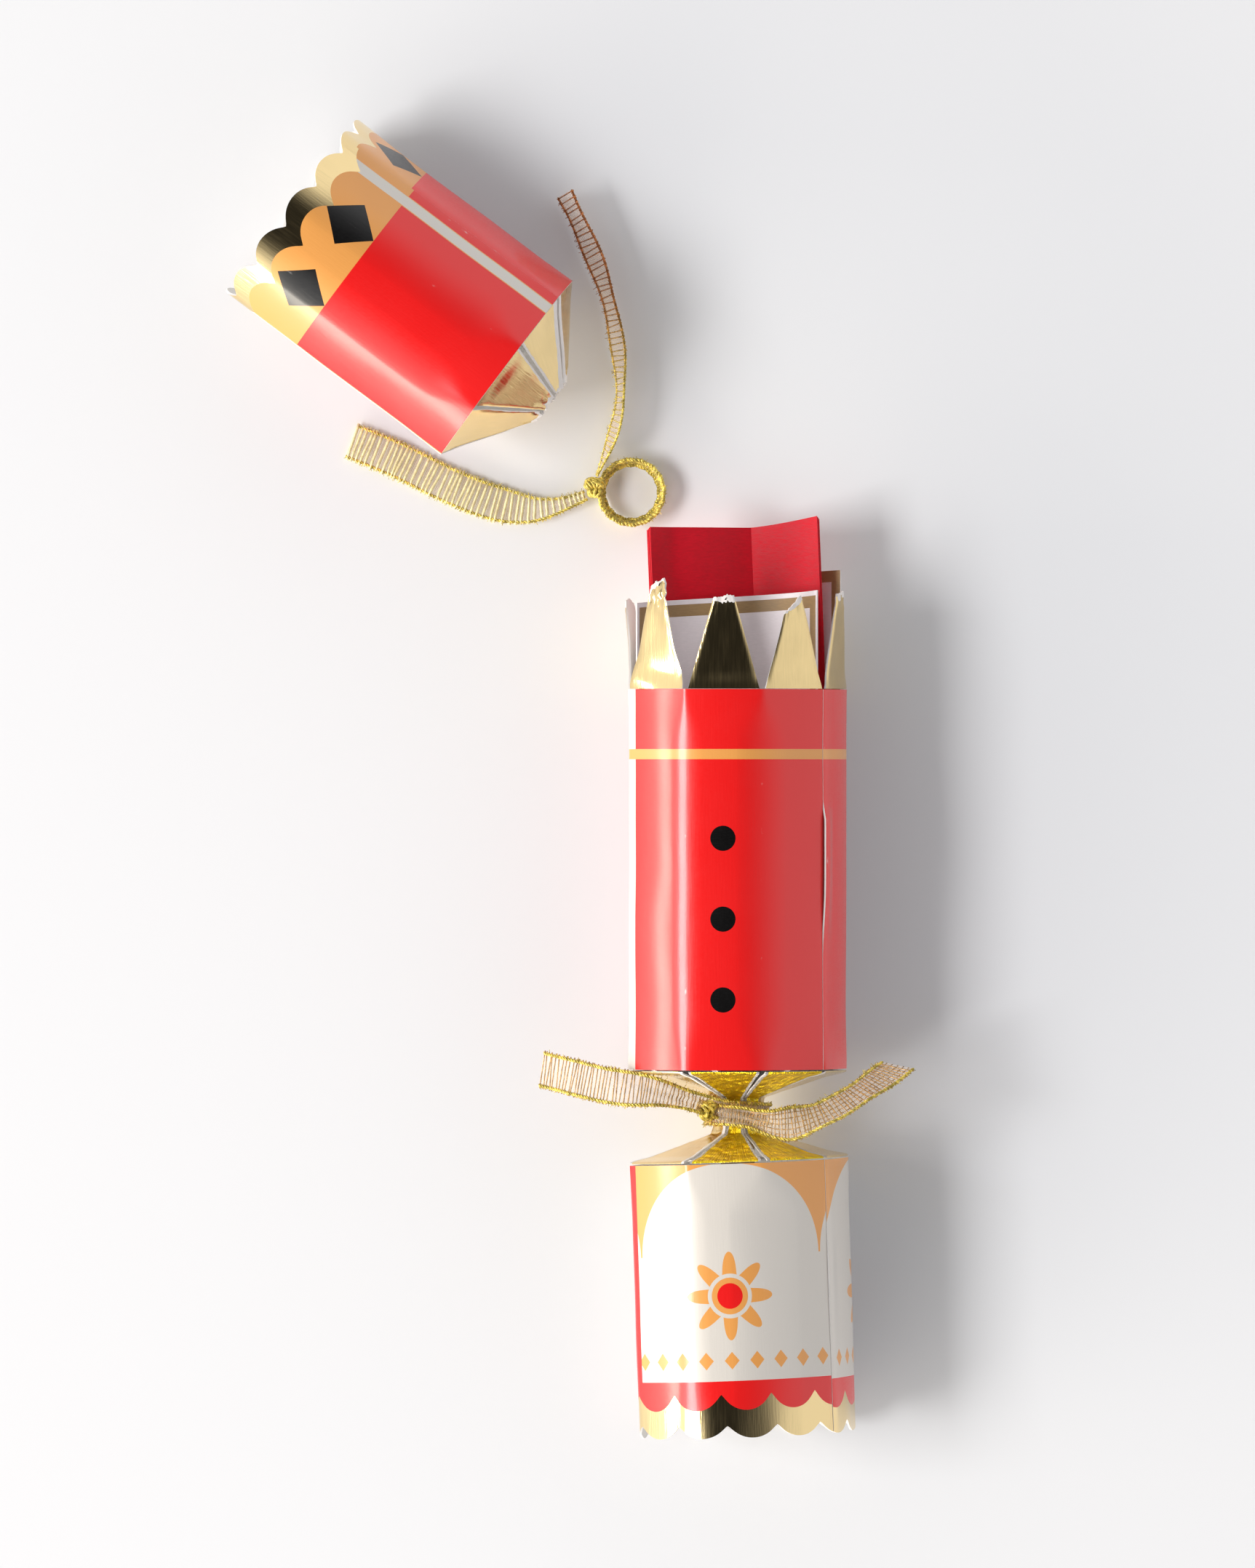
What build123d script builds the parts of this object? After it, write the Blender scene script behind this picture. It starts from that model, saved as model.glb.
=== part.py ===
from build123d import *
import math
import os

os.makedirs("parts", exist_ok=True)

# A pulled christmas cracker lying on a table, in millimetres and degrees.
# x runs across the barrel, y along it towards the torn mouth, and z up from the table.
# The origin is on the table under the middle of the barrel.

# Card blank
card_thickness = 0.5
panel_width = 17.6
panel_headings = (43.3, 0.0, -37.1, -72.4)
barrel_length = 86.1
end_length = 62.5
score_gap = 0.5
glue_tab_width = 8.0
glue_gap = 0.05
glue_tab_margin = 2.0
seam_panel = 2

# Scalloped rim
scallop_count = 12
scallop_depth = 2.6

# Tied neck
neck_length = 21.0
neck_scale = 0.22
neck_slit = 0.8
waist_gap = 1.4
throat_half = 3.7
lower_end_yaw = 1.9

# Torn points
tip_scale = 0.25
cone_depth = 13.0
valley_width = 1.0
tip_width = 3.0
crown_bend_angles = (-3.0, 0.0, -2.0, -4.0, 0.0, 0.0, 0.0, -14.0)
crown_jags = (
    (0.2, 1.4, 0.5),
    (1.3, 2.6, 1.0),
    (0.4, 1.2, 1.9),
    (0.9, 0.1, 1.5),
    (0.3, 1.1, 0.2),
    (0.0, 0.8, 1.3),
    (1.0, 0.4, 0.1),
    (0.6, 1.7, 1.0),
)
torn_jags = (
    (-0.4, 0.5, -0.8),
    (0.3, -0.5, 0.1),
    (-0.9, 0.2, 0.4),
    (0.0, -0.6, 0.5),
    (-0.3, 0.3, -0.7),
    (0.2, 0.6, -0.2),
    (-0.6, 0.1, 0.3),
    (0.4, -0.2, -0.5),
)

# Torn-off end, lying apart on the table
torn_end_place = (-52.4, 116.1)
torn_end_turn = 53.13

# Contents
seat_clearance = 0.35
back_card_thickness = 0.4
back_card_length = 72.0
back_card_reach = 26.0
back_card_rise = 6.0
back_card_seat_scale = 0.5
front_card_thickness = 0.4
front_card_length = 70.0
front_card_reach = 21.0
front_card_rise = 13.5
hat_thickness = 1.6
hat_length = 90.0
hat_reach = 37.0
hat_left_inset = 1.3
hat_right_inset = 6.5

# Snap strip
snap_thickness = 0.4
snap_clearance = 0.6
snap_barrel_reach = 5.0
snap_lower_reach = 9.0
snap_torn_length = 44.0
snap_torn_start = 4.0

# Ribbons, the tied one placed from the waist and the loose one from the origin
ribbon_width = 8.7
ribbon_thickness = 0.6
wrap_width = 5.2
wrap_thickness = 2.0
wrap_clearance = 0.35
knot_gap = 0.05
tied_knot_radius = 3.0
tied_knot_place = (-7.0, 1.35, 25.6)
tied_left_route = (
    (-9.0, 1.55, 27.4),
    (-18.0, 3.85, 31.4),
    (-29.0, 6.65, 30.0),
    (-37.0, 8.65, 26.0),
    (-44.5, 10.45, 20.5),
)
tied_right_route = (
    (2.5, -0.45, 27.0),
    (10.2, -3.25, 30.6),
    (18.5, -0.65, 32.0),
    (28.0, 5.35, 29.8),
    (37.5, 12.15, 24.5),
)
gather_reach = 13.0
table_gap = 0.2
loose_knot_radius = 2.7
loose_knot_place = (-32.5, 89.4)
loose_loop_place = (-24.1, 88.1)
loose_loop_radius = 6.0
loose_loop_thickness = 1.7
loose_loop_height = 4.2
loose_left_route = (
    (-87.9, 99.8),
    (-78.0, 96.0),
    (-66.0, 89.6),
    (-54.0, 85.0),
    (-43.0, 83.6),
    (-34.5, 87.4),
)
loose_right_route = (
    (-39.3, 156.1),
    (-32.8, 143.1),
    (-28.2, 128.5),
    (-26.2, 113.7),
    (-27.4, 102.1),
    (-32.0, 91.9),
)


# Outlines across the tube

def tube_outline():
    """The eight creases in x and z, clockwise from the left one, centred over the origin on the table"""
    headings = list(panel_headings) + [heading + 180 for heading in panel_headings]
    corners = [(0.0, 0.0)]
    for heading in headings[:-1]:
        x, z = corners[-1]
        step_x = panel_width * math.cos(math.radians(heading))
        step_z = panel_width * math.sin(math.radians(heading))
        corners.append((x + step_x, z + step_z))
    middle = sum(x for x, z in corners) / len(corners)
    bottom = min(z for x, z in corners)
    return [(x - middle, z - bottom) for x, z in corners]


outline = tube_outline()
axis_height = max(z for x, z in outline) / 2
panel_count = len(outline)


def panel_frame(points, index):
    """First corner, direction to the next corner and inward normal of one side of an outline"""
    first = points[index]
    second = points[(index + 1) % len(points)]
    length = math.dist(first, second)
    along = ((second[0] - first[0]) / length, (second[1] - first[1]) / length)
    inward = (along[1], -along[0])
    return first, along, inward


def inset_outline(points, inset):
    """The outline with every side moved inwards by the inset, or outwards if it is negative"""
    moved = []
    for index in range(len(points)):
        corner, along_before, inward_before = panel_frame(points, index - 1)
        corner, along_after, inward_after = panel_frame(points, index)
        share = 1 + inward_before[0] * inward_after[0] + inward_before[1] * inward_after[1]
        x = corner[0] + inset * (inward_before[0] + inward_after[0]) / share
        z = corner[1] + inset * (inward_before[1] + inward_after[1]) / share
        moved.append((x, z))
    return moved


def scaled_outline(scale):
    """The outline drawn in towards the axis of the tube"""
    return [(x * scale, axis_height + (z - axis_height) * scale) for x, z in outline]


def prism(points, start, length):
    """A solid with an outline in x and z, running along y"""
    corners = [Vector(x, start, z) for x, z in points]
    return Solid.extrude(Face(Wire.make_polygon(corners, close=True)), Vector(0, length, 0))


def tube(outer, inner, start, length):
    """A straight tube between two outlines"""
    overshoot = card_thickness
    return (prism(outer, start, length) - prism(inner, start - overshoot, length + 2 * overshoot)).solid()


def apothem(index):
    """Distance from the axis of the tube to one panel"""
    corner, along, inward = panel_frame(outline, index)
    return -(corner[0] * inward[0] + (corner[1] - axis_height) * inward[1])


inside = inset_outline(outline, card_thickness)

# Stations along the barrel

mouth = barrel_length / 2
barrel_foot = -barrel_length / 2
waist = barrel_foot - neck_length / 2
lower_neck = barrel_foot - neck_length
at_waist = Pos(0, waist, 0)
waist_turn = at_waist * Rot(0, 0, lower_end_yaw) * at_waist.inverse()
torn_place = Pos(*torn_end_place, 0) * Rot(0, 0, torn_end_turn)


# Sheet pieces

def sheet_point(index, across, out, depth, fold, edge, side):
    """A point of a flap: across its panel, out from its score line, down into the card, and folded in"""
    first, along, inward = panel_frame(outline, index)
    turn = math.radians(fold)
    axial = out * math.cos(turn) - depth * math.sin(turn)
    inner = out * math.sin(turn) + depth * math.cos(turn)
    x = first[0] + across * along[0] + inner * inward[0]
    z = first[1] + across * along[1] + inner * inward[1]
    return Vector(x, edge + side * axial, z)


def sheet_flap(index, shape, fold, edge, side):
    """A flat flap of card on a score line, folded in by an angle"""
    corners = [sheet_point(index, across, out, 0, fold, edge, side) for across, out in shape]
    through = sheet_point(index, 0, 0, card_thickness, fold, edge, side)
    through = through - sheet_point(index, 0, 0, 0, fold, edge, side)
    return Solid.extrude(Face(Wire.make_polygon(corners, close=True)), through)


def point_shape(index, jags, lean):
    """Flat shape of a torn point, from its score line to its ragged tip, which leans to one side"""
    length = math.hypot(apothem(index) * (1 - tip_scale), cone_depth)
    middle = panel_width / 2 + lean
    return [
        (valley_width, score_gap),
        (middle - tip_width / 2, length + jags[0]),
        (middle, length + jags[1]),
        (middle + tip_width / 2, length + jags[2]),
        (panel_width - valley_width, score_gap),
    ]


def cone_fold(index):
    """Angle by which a torn point is folded in to the cone"""
    return math.degrees(math.atan2(apothem(index) * (1 - tip_scale), cone_depth))


def cone_lean(index):
    """How far a tip leans along its panel, so that all tips of a cone point at the axis"""
    corner, along, inward = panel_frame(outline, index)
    foot = -(corner[0] * along[0] + (corner[1] - axis_height) * along[1])
    return (foot - panel_width / 2) * (1 - tip_scale)


def scallop_cut(index, side):
    """What is cut from one panel at the rim, so that the scallops run on round the creases"""
    pitch = panel_count * panel_width / scallop_count
    radius = (pitch * pitch / 4 + scallop_depth * scallop_depth) / (2 * scallop_depth)
    start = index * panel_width
    stop = start + panel_width
    bounds = [start, stop]
    for number in range(scallop_count + 1):
        if start + 1e-6 < number * pitch < stop - 1e-6:
            bounds.append(number * pitch)
    bounds.sort()

    def corner(place, lobe, depth):
        from_middle = place - (lobe + 0.5) * pitch
        out = end_length - radius + math.sqrt(radius * radius - from_middle * from_middle)
        return sheet_point(index, place - start, out, depth, 0, 0, side)

    outside = -card_thickness
    edges = []
    for first, second in zip(bounds, bounds[1:]):
        middle = (first + second) / 2
        lobe = math.floor(middle / pitch)
        arc_ends = [corner(place, lobe, outside) for place in (first, middle, second)]
        edges.append(Edge.make_three_point_arc(*arc_ends))
    far = end_length + scallop_depth
    far_start = sheet_point(index, 0, far, outside, 0, 0, side)
    far_stop = sheet_point(index, panel_width, far, outside, 0, 0, side)
    edges.append(Edge.make_line(edges[-1] @ 1, far_stop))
    edges.append(Edge.make_line(far_stop, far_start))
    edges.append(Edge.make_line(far_start, edges[0] @ 0))
    first, along, inward = panel_frame(outline, index)
    through = Vector(inward[0], 0, inward[1]) * (3 * card_thickness)
    return Solid.extrude(Face(Wire(edges)), through)


def end_sleeve(side):
    """A straight sleeve from its neck edge, at the origin, to its scalloped rim"""
    start = 0 if side > 0 else -end_length
    sleeve = tube(outline, inside, start, end_length)
    cuts = [scallop_cut(index, side) for index in range(panel_count)]
    return sleeve.cut(*cuts).solid()


def glue_tab(start, length):
    """The inner lap of the seam, flat against the inside of its panel and ending at the seam's crease"""
    near = inset_outline(outline, card_thickness + glue_gap)
    far = inset_outline(outline, 2 * card_thickness + glue_gap)
    first, along, inward = panel_frame(near, seam_panel)
    near_end = near[(seam_panel + 1) % panel_count]
    far_end = far[(seam_panel + 1) % panel_count]
    near_start = (near_end[0] - along[0] * glue_tab_width, near_end[1] - along[1] * glue_tab_width)
    far_start = (
        near_start[0] + inward[0] * card_thickness,
        near_start[1] + inward[1] * card_thickness,
    )
    return prism([near_start, near_end, far_end, far_start], start, length)


def neck_panel(index, edge, side):
    """One gold strip: a flare from the sleeve's edge in to the throat, then straight on to the waist"""
    corner, along, inward = panel_frame(outline, index)
    narrow = scaled_outline(neck_scale)
    bend = waist - side * throat_half
    stop = waist - side * waist_gap / 2
    drop = apothem(index) * (1 - neck_scale)
    run = abs(bend - edge)
    slope = math.hypot(drop, run)
    flare_in = Vector(inward[0] * run / slope, -side * drop / slope, inward[1] * run / slope)
    throat_in = Vector(inward[0], 0, inward[1])
    through = (flare_in + throat_in) * (card_thickness / (1 + flare_in.dot(throat_in)))
    start = edge + side * abs(through.Y)

    def line_ends(points, place):
        first, run_along, run_in = panel_frame(points, index)
        second = points[(index + 1) % panel_count]
        inset_x = run_along[0] * neck_slit / 2
        inset_z = run_along[1] * neck_slit / 2
        left = Vector(first[0] + inset_x, place, first[1] + inset_z)
        right = Vector(second[0] - inset_x, place, second[1] - inset_z)
        return left, right

    edge_left, edge_right = line_ends(outline, start)
    bend_left, bend_right = line_ends(narrow, bend)
    stop_left, stop_right = line_ends(narrow, stop)
    flare = Face(Wire.make_polygon([edge_left, edge_right, bend_right, bend_left], close=True))
    throat = Face(Wire.make_polygon([bend_left, bend_right, stop_right, stop_left], close=True))
    return (Solid.extrude(flare, through) + Solid.extrude(throat, through)).solid()


def neck_panels(edge, side, place):
    """All eight strips of one half of the neck"""
    return Compound([place * neck_panel(index, edge, side) for index in range(panel_count)])


# Curved sheets that stand in the barrel

def circle_through(left, low, right):
    """Centre and radius of the circle through three points in x and z"""
    ax, az = left
    bx, bz = low
    cx, cz = right
    twice = 2 * (ax * (bz - cz) + bx * (cz - az) + cx * (az - bz))
    a2 = ax * ax + az * az
    b2 = bx * bx + bz * bz
    c2 = cx * cx + cz * cz
    x = (a2 * (bz - cz) + b2 * (cz - az) + c2 * (az - bz)) / twice
    z = (a2 * (cx - bx) + b2 * (ax - cx) + c2 * (bx - ax)) / twice
    return (x, z), math.dist((x, z), left)


def hang_angle(centre, point):
    """Angle of a point from straight below the centre, positive to the right"""
    return math.atan2(point[0] - centre[0], centre[1] - point[1])


def curved_sheet(centre, radius, angle_left, angle_right, thickness, start, length):
    """A sheet bent to an arc that hangs below its centre, running along y"""
    def place(distance, angle):
        x = centre[0] + distance * math.sin(angle)
        z = centre[1] - distance * math.cos(angle)
        return Vector(x, start, z)

    outer = radius + thickness / 2
    inner = radius - thickness / 2
    angle_middle = (angle_left + angle_right) / 2
    low = [place(outer, angle) for angle in (angle_left, angle_middle, angle_right)]
    high = [place(inner, angle) for angle in (angle_right, angle_middle, angle_left)]
    edges = [
        Edge.make_three_point_arc(*low),
        Edge.make_line(low[2], high[0]),
        Edge.make_three_point_arc(*high),
        Edge.make_line(high[2], low[0]),
    ]
    return Solid.extrude(Face(Wire(edges)), Vector(0, length, 0))


# The back card rests with its left edge on a side panel and its right edge in a crease
back_seat = inset_outline(outline, card_thickness + seat_clearance + back_card_thickness)
seat_low = back_seat[7]
seat_high = back_seat[0]
back_left = (
    seat_low[0] + (seat_high[0] - seat_low[0]) * back_card_seat_scale,
    seat_low[1] + (seat_high[1] - seat_low[1]) * back_card_seat_scale,
)
back_right = back_seat[4]
back_low = ((back_left[0] + back_right[0]) / 2, card_thickness + back_card_rise)
back_centre, back_radius = circle_through(back_left, back_low, back_right)
back_angles = (hang_angle(back_centre, back_left), hang_angle(back_centre, back_right))

# The hat lies in the back card, bent to the same centre
hat_radius = back_radius - back_card_thickness / 2 - seat_clearance - hat_thickness / 2
hat_angles = (
    back_angles[0] + hat_left_inset / hat_radius,
    back_angles[1] - hat_right_inset / hat_radius,
)

# The front card is sprung between the left crease and the lap of the seam
front_seat = inset_outline(outline, card_thickness + seat_clearance + front_card_thickness)
lap_seat = inset_outline(outline, 2 * card_thickness + glue_gap + seat_clearance + front_card_thickness)
front_left = front_seat[0]
front_right = lap_seat[3]
front_low = ((front_left[0] + front_right[0]) / 2, card_thickness + front_card_rise)
front_centre, front_radius = circle_through(front_left, front_low, front_right)
front_angles = (hang_angle(front_centre, front_left), hang_angle(front_centre, front_right))

motto_card_back = curved_sheet(
    back_centre, back_radius, *back_angles, back_card_thickness,
    mouth + back_card_reach - back_card_length, back_card_length,
)
paper_hat = curved_sheet(
    back_centre, hat_radius, *hat_angles, hat_thickness,
    mouth + hat_reach - hat_length, hat_length,
)
motto_card_front = curved_sheet(
    front_centre, front_radius, *front_angles, front_card_thickness,
    mouth + front_card_reach - front_card_length, front_card_length,
)

# Snap strip halves: one runs through the throat, one is glued to the floor of the torn-off end

throat_inside = inset_outline(scaled_outline(neck_scale), card_thickness)
left_low = throat_inside[7]
left_high = throat_inside[0]
left_share = (axis_height - left_low[1]) / (left_high[1] - left_low[1])
throat_half_width = -(left_low[0] + (left_high[0] - left_low[0]) * left_share)
snap_half = throat_half_width - snap_clearance


def snap_outline(middle, bottom):
    """Section of the strip in x and z"""
    return [
        (middle - snap_half, bottom),
        (middle - snap_half, bottom + snap_thickness),
        (middle + snap_half, bottom + snap_thickness),
        (middle + snap_half, bottom),
    ]


snap_barrel_start = lower_neck - snap_lower_reach
snap_barrel_length = barrel_foot + snap_barrel_reach - snap_barrel_start
snap_strip_barrel = prism(
    snap_outline(0, axis_height - snap_thickness / 2), snap_barrel_start, snap_barrel_length,
)
floor_middle = (outline[5][0] + outline[6][0]) / 2
snap_strip_torn = prism(
    snap_outline(floor_middle, card_thickness + glue_gap), snap_torn_start, snap_torn_length,
)


# Ribbons

def ribbon_path(points):
    """Straight runs joined by tangent arcs, each as large as its two runs allow"""
    places = [Vector(*point) for point in points]
    radii = []
    for before, here, after in zip(places, places[1:], places[2:]):
        turn = (here - before).get_angle(after - here)
        shorter = min((here - before).length, (after - here).length)
        radii.append(0.45 * shorter / math.tan(math.radians(turn) / 2))
    print("ribbon radii", [round(radius, 1) for radius in radii])
    return Wire(FilletPolyline(*places, radius=radii).edges())


def ribbon_strip(points, width, height):
    """A flat strip along a route, as wide as given across it and as high as given"""
    path = ribbon_path(points)
    ahead = path % 0
    across = Vector(0, 0, 1).cross(ahead).normalized()
    section = Plane(origin=path @ 0, x_dir=across, z_dir=ahead) * Rectangle(width, height)
    strip = sweep(section, path=path).solid()
    print("ribbon volume", round(strip.volume, 2), "of", round(width * height * path.length, 2))
    return strip


def on_table(points, height):
    """A route on the table, as a route through the middle of a strip of some height"""
    return [(x, y, table_gap + height / 2) for x, y in points]


throat_outline = scaled_outline(neck_scale)
wrap_inside = inset_outline(throat_outline, -wrap_clearance)
wrap_outside = inset_outline(throat_outline, -wrap_clearance - wrap_thickness)
tied_ribbon_wrap = tube(wrap_outside, wrap_inside, waist - wrap_width / 2, wrap_width)
knot_seat = inset_outline(throat_outline, -wrap_clearance - wrap_thickness - knot_gap)
tied_knot = at_waist * Pos(*tied_knot_place) * Sphere(tied_knot_radius)
tied_knot_room = at_waist * Pos(*tied_knot_place) * Sphere(tied_knot_radius + knot_gap)
tied_ribbon_knot = (tied_knot - prism(knot_seat, waist - wrap_width, 2 * wrap_width)).solid()


def gathered(strip):
    """A tied tail, drawn in to the width of the wrap where it comes out over it"""
    sizes = (2 * gather_reach, ribbon_width, 4 * axis_height)
    above = Pos(0, waist + wrap_width / 2 + ribbon_width / 2, axis_height) * Box(*sizes)
    below = Pos(0, waist - wrap_width / 2 - ribbon_width / 2, axis_height) * Box(*sizes)
    return (strip - above - below).solid()


left_strip = at_waist * ribbon_strip(tied_left_route, ribbon_width, ribbon_thickness)
right_strip = at_waist * ribbon_strip(tied_right_route, ribbon_width, ribbon_thickness)
tied_ribbon_tail_left = gathered(left_strip) - tied_knot_room
tied_ribbon_tail_right = gathered(right_strip)

loose_knot_place_3d = (*loose_knot_place, table_gap + loose_knot_radius)
loose_ribbon_knot = Pos(*loose_knot_place_3d) * Sphere(loose_knot_radius)
loose_knot_room = Pos(*loose_knot_place_3d) * Sphere(loose_knot_radius + knot_gap)
loop_outer = Cylinder(
    loose_loop_radius + loose_loop_thickness, loose_loop_height, align=(Align.CENTER, Align.CENTER, Align.MIN),
)
loop_inner = Cylinder(
    loose_loop_radius, loose_loop_height, align=(Align.CENTER, Align.CENTER, Align.MIN),
)
loose_ribbon_loop = Pos(*loose_loop_place, table_gap) * (loop_outer - loop_inner) - loose_knot_room
loose_ribbon_tail_left = ribbon_strip(
    on_table(loose_left_route, ribbon_thickness), ribbon_width, ribbon_thickness,
)
loose_ribbon_tail_left = loose_ribbon_tail_left - loose_knot_room
loose_ribbon_tail_right = ribbon_strip(
    on_table(loose_right_route, ribbon_width), ribbon_thickness, ribbon_width,
)
loose_ribbon_tail_right = loose_ribbon_tail_right - loose_knot_room

# All pieces by name

pieces = {
    "barrel_sleeve": tube(outline, inside, barrel_foot, barrel_length),
    "barrel_glue_tab": glue_tab(barrel_foot + glue_tab_margin, barrel_length - 2 * glue_tab_margin),
    "barrel_neck_panels": neck_panels(barrel_foot, -1, Location()),
    "lower_end_sleeve": waist_turn * Pos(0, lower_neck, 0) * end_sleeve(-1),
    "lower_end_glue_tab": waist_turn * glue_tab(
        lower_neck - end_length + glue_tab_margin + scallop_depth,
        end_length - 2 * glue_tab_margin - scallop_depth,
    ),
    "lower_end_neck_panels": neck_panels(lower_neck, 1, waist_turn),
    "torn_end_sleeve": torn_place * end_sleeve(1),
    "torn_end_glue_tab": torn_place * glue_tab(
        glue_tab_margin, end_length - 2 * glue_tab_margin - scallop_depth,
    ),
    "snap_strip_barrel": snap_strip_barrel,
    "snap_strip_torn": torn_place * snap_strip_torn,
    "motto_card_back": motto_card_back,
    "paper_hat": paper_hat,
    "motto_card_front": motto_card_front,
    "tied_ribbon_wrap": tied_ribbon_wrap,
    "tied_ribbon_knot": tied_ribbon_knot,
    "tied_ribbon_tail_left": tied_ribbon_tail_left,
    "tied_ribbon_tail_right": tied_ribbon_tail_right,
    "loose_ribbon_loop": loose_ribbon_loop,
    "loose_ribbon_knot": loose_ribbon_knot,
    "loose_ribbon_tail_left": loose_ribbon_tail_left,
    "loose_ribbon_tail_right": loose_ribbon_tail_right,
}
for index in range(panel_count):
    crown_shape = point_shape(index, crown_jags[index], 0)
    crown_point = sheet_flap(index, crown_shape, crown_bend_angles[index], mouth, 1)
    pieces["crown_point_%d" % (index + 1)] = crown_point
    torn_shape = point_shape(index, torn_jags[index], cone_lean(index))
    torn_point = sheet_flap(index, torn_shape, cone_fold(index), 0, -1)
    pieces["torn_point_%d" % (index + 1)] = torn_place * torn_point

for name, piece in pieces.items():
    export_step(piece, "parts/%s.step" % name)
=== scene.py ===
import math
import random

import bmesh
import bpy
from bpy.props import FloatProperty, FloatVectorProperty, PointerProperty
from mathutils import Matrix, Vector, noise


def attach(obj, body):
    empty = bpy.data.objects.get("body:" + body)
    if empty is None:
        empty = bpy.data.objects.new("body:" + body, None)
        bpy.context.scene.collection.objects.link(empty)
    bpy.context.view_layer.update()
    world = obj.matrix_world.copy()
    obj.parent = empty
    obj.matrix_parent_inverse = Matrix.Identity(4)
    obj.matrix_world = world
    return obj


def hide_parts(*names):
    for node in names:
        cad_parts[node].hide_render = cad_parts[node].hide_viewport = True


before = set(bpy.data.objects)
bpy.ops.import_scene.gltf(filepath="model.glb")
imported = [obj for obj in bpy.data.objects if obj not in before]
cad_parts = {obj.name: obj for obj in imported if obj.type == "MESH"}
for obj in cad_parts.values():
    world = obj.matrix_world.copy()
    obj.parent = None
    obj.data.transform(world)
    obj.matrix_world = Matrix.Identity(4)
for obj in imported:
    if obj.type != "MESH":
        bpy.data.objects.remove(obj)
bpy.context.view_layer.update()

bl_info = {
    "name": "Christmas Cracker",
    "version": (1, 0, 0),
    "blender": (4, 5, 0),
    "location": "View3D > Sidebar > Cracker",
    "description": "Dresses the packed cracker in printed card, gold foil, tissue and mesh ribbon",
    "category": "Add Mesh",
}

# Sizes in millimetres, as in the part's source
MM = 0.001
panel = 17.6
panel_headings = (43.3, 0.0, -37.1, -72.4)
around_tube = 8 * panel
barrel_length = 86.1
end_length = 62.5
mouth = barrel_length / 2
barrel_foot = -barrel_length / 2
neck_length = 21.0
waist = barrel_foot - neck_length / 2
lower_neck = barrel_foot - neck_length
untorn = 9.0
scallop_pitch = around_tube / 12
scallop_depth = 2.6
throat_scale = 0.22
throat_half = 3.7
waist_gap = 1.4
tip_scale = 0.25
cone_depth = 13.0
print_repeat = around_tube / 3

crown_bends = (-2.0, 0.0, -2.0, -4.0, 0.0, 0.0, 0.0, -8.0)
crown_jags = (
    (1.2, 2.9, 3.5), (1.1, 1.4, 1.5), (-2.2, 0.1, 2.0), (1.2, 1.0, 1.7),
    (0.3, 1.1, 0.2), (0.0, 0.8, 1.3), (1.0, 0.4, 0.1), (-0.8, 0.2, -0.5),
)
torn_jags = (
    (-0.4, 0.5, -0.8), (0.3, -0.5, 0.1), (-0.9, 0.2, 0.4), (0.0, -0.6, 0.5),
    (-0.3, 0.3, -0.7), (0.2, 0.6, -0.2), (-0.6, 0.1, 0.3), (0.4, -0.2, -0.5),
)

# How soft each crease is, clockwise from the left one, as shares of the softest fold that the card takes
barrel_folds = (0.14, 0.42, 0.68, 0.16, 0.16, 0.18, 0.18, 0.18)
lower_folds = (0.14, 0.46, 0.98, 0.2, 0.24, 0.3, 0.3, 0.2)
torn_folds = (0.16, 0.6, 0.7, 0.3, 0.2, 0.3, 0.3, 0.2)

# Bent sheets: centre in x and z, middle radius, left and right angle from straight down
back_card_arc = (4.65, 38.25, 31.93, -0.86, 0.6297)
hat_arc = (4.65, 38.25, 30.58, -0.872, 0.52)
front_card_arc = (-2.88, 36.76, 22.76, -1.085, 1.1641)

# Cards and hat: width and length as flat sheets, and how far they reach out of the mouth
front_card_width = 51.2
front_card_length = 70.0
front_card_reach = 21.0
back_card_width = 47.5
back_card_length = 72.0
back_card_reach = 26.0
hat_length = 90.0
hat_reach = 36.9
hat_crease = 4.3
hat_lean = -0.04
lean_ease = 12.0

# Ribbons: where the narrow loose tail turns to the painted red reflection and shade along y in metres, the
# ring, and the routes
far_end_span = (0.108, 0.136)
ring_radius = 6.85
tied_route = (
    (-44.5, -43.1, 20.5),
    (-37.0, -44.9, 26.0),
    (-29.0, -46.9, 30.0),
    (-18.0, -48.0, 31.4),
    (-9.6, -50.4, 27.6),
    (-3.6, -52.4, 25.6),
    (0.6, -52.6, 25.9),
    (4.6, -52.9, 24.6),
    (6.9, -53.1, 21.6),
    (7.0, -53.3, 18.2),
    (4.9, -53.5, 15.1),
    (1.6, -53.7, 13.6),
    (-2.2, -53.7, 13.7),
    (-5.4, -53.6, 15.6),
    (-7.2, -53.4, 18.8),
    (-7.0, -53.2, 22.6),
    (-5.2, -53.2, 25.9),
    (-1.6, -53.5, 27.0),
    (2.5, -54.0, 27.0),
    (9.8, -55.9, 30.6),
    (18.5, -53.6, 32.0),
    (28.0, -48.2, 29.8),
    (37.5, -41.4, 24.5),
)
loose_left_route = (
    (-87.9, 99.8, 0.5),
    (-78.0, 96.0, 0.5),
    (-66.0, 89.6, 0.5),
    (-54.0, 85.0, 0.5),
    (-43.0, 83.6, 0.6),
    (-34.5, 87.4, 1.6),
)
loose_right_route = (
    (-39.3, 156.1, 4.55),
    (-32.8, 143.1, 4.55),
    (-28.2, 128.5, 4.55),
    (-26.2, 113.7, 4.55),
    (-27.4, 102.1, 4.2),
    (-32.0, 91.9, 3.4),
)
tied_knot_place = (-7.0, waist + 1.35, 25.6)
loose_knot_place = (-32.5, 89.4, 2.9)
loose_loop_place = (-24.1, 88.1, 0.2)

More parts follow.
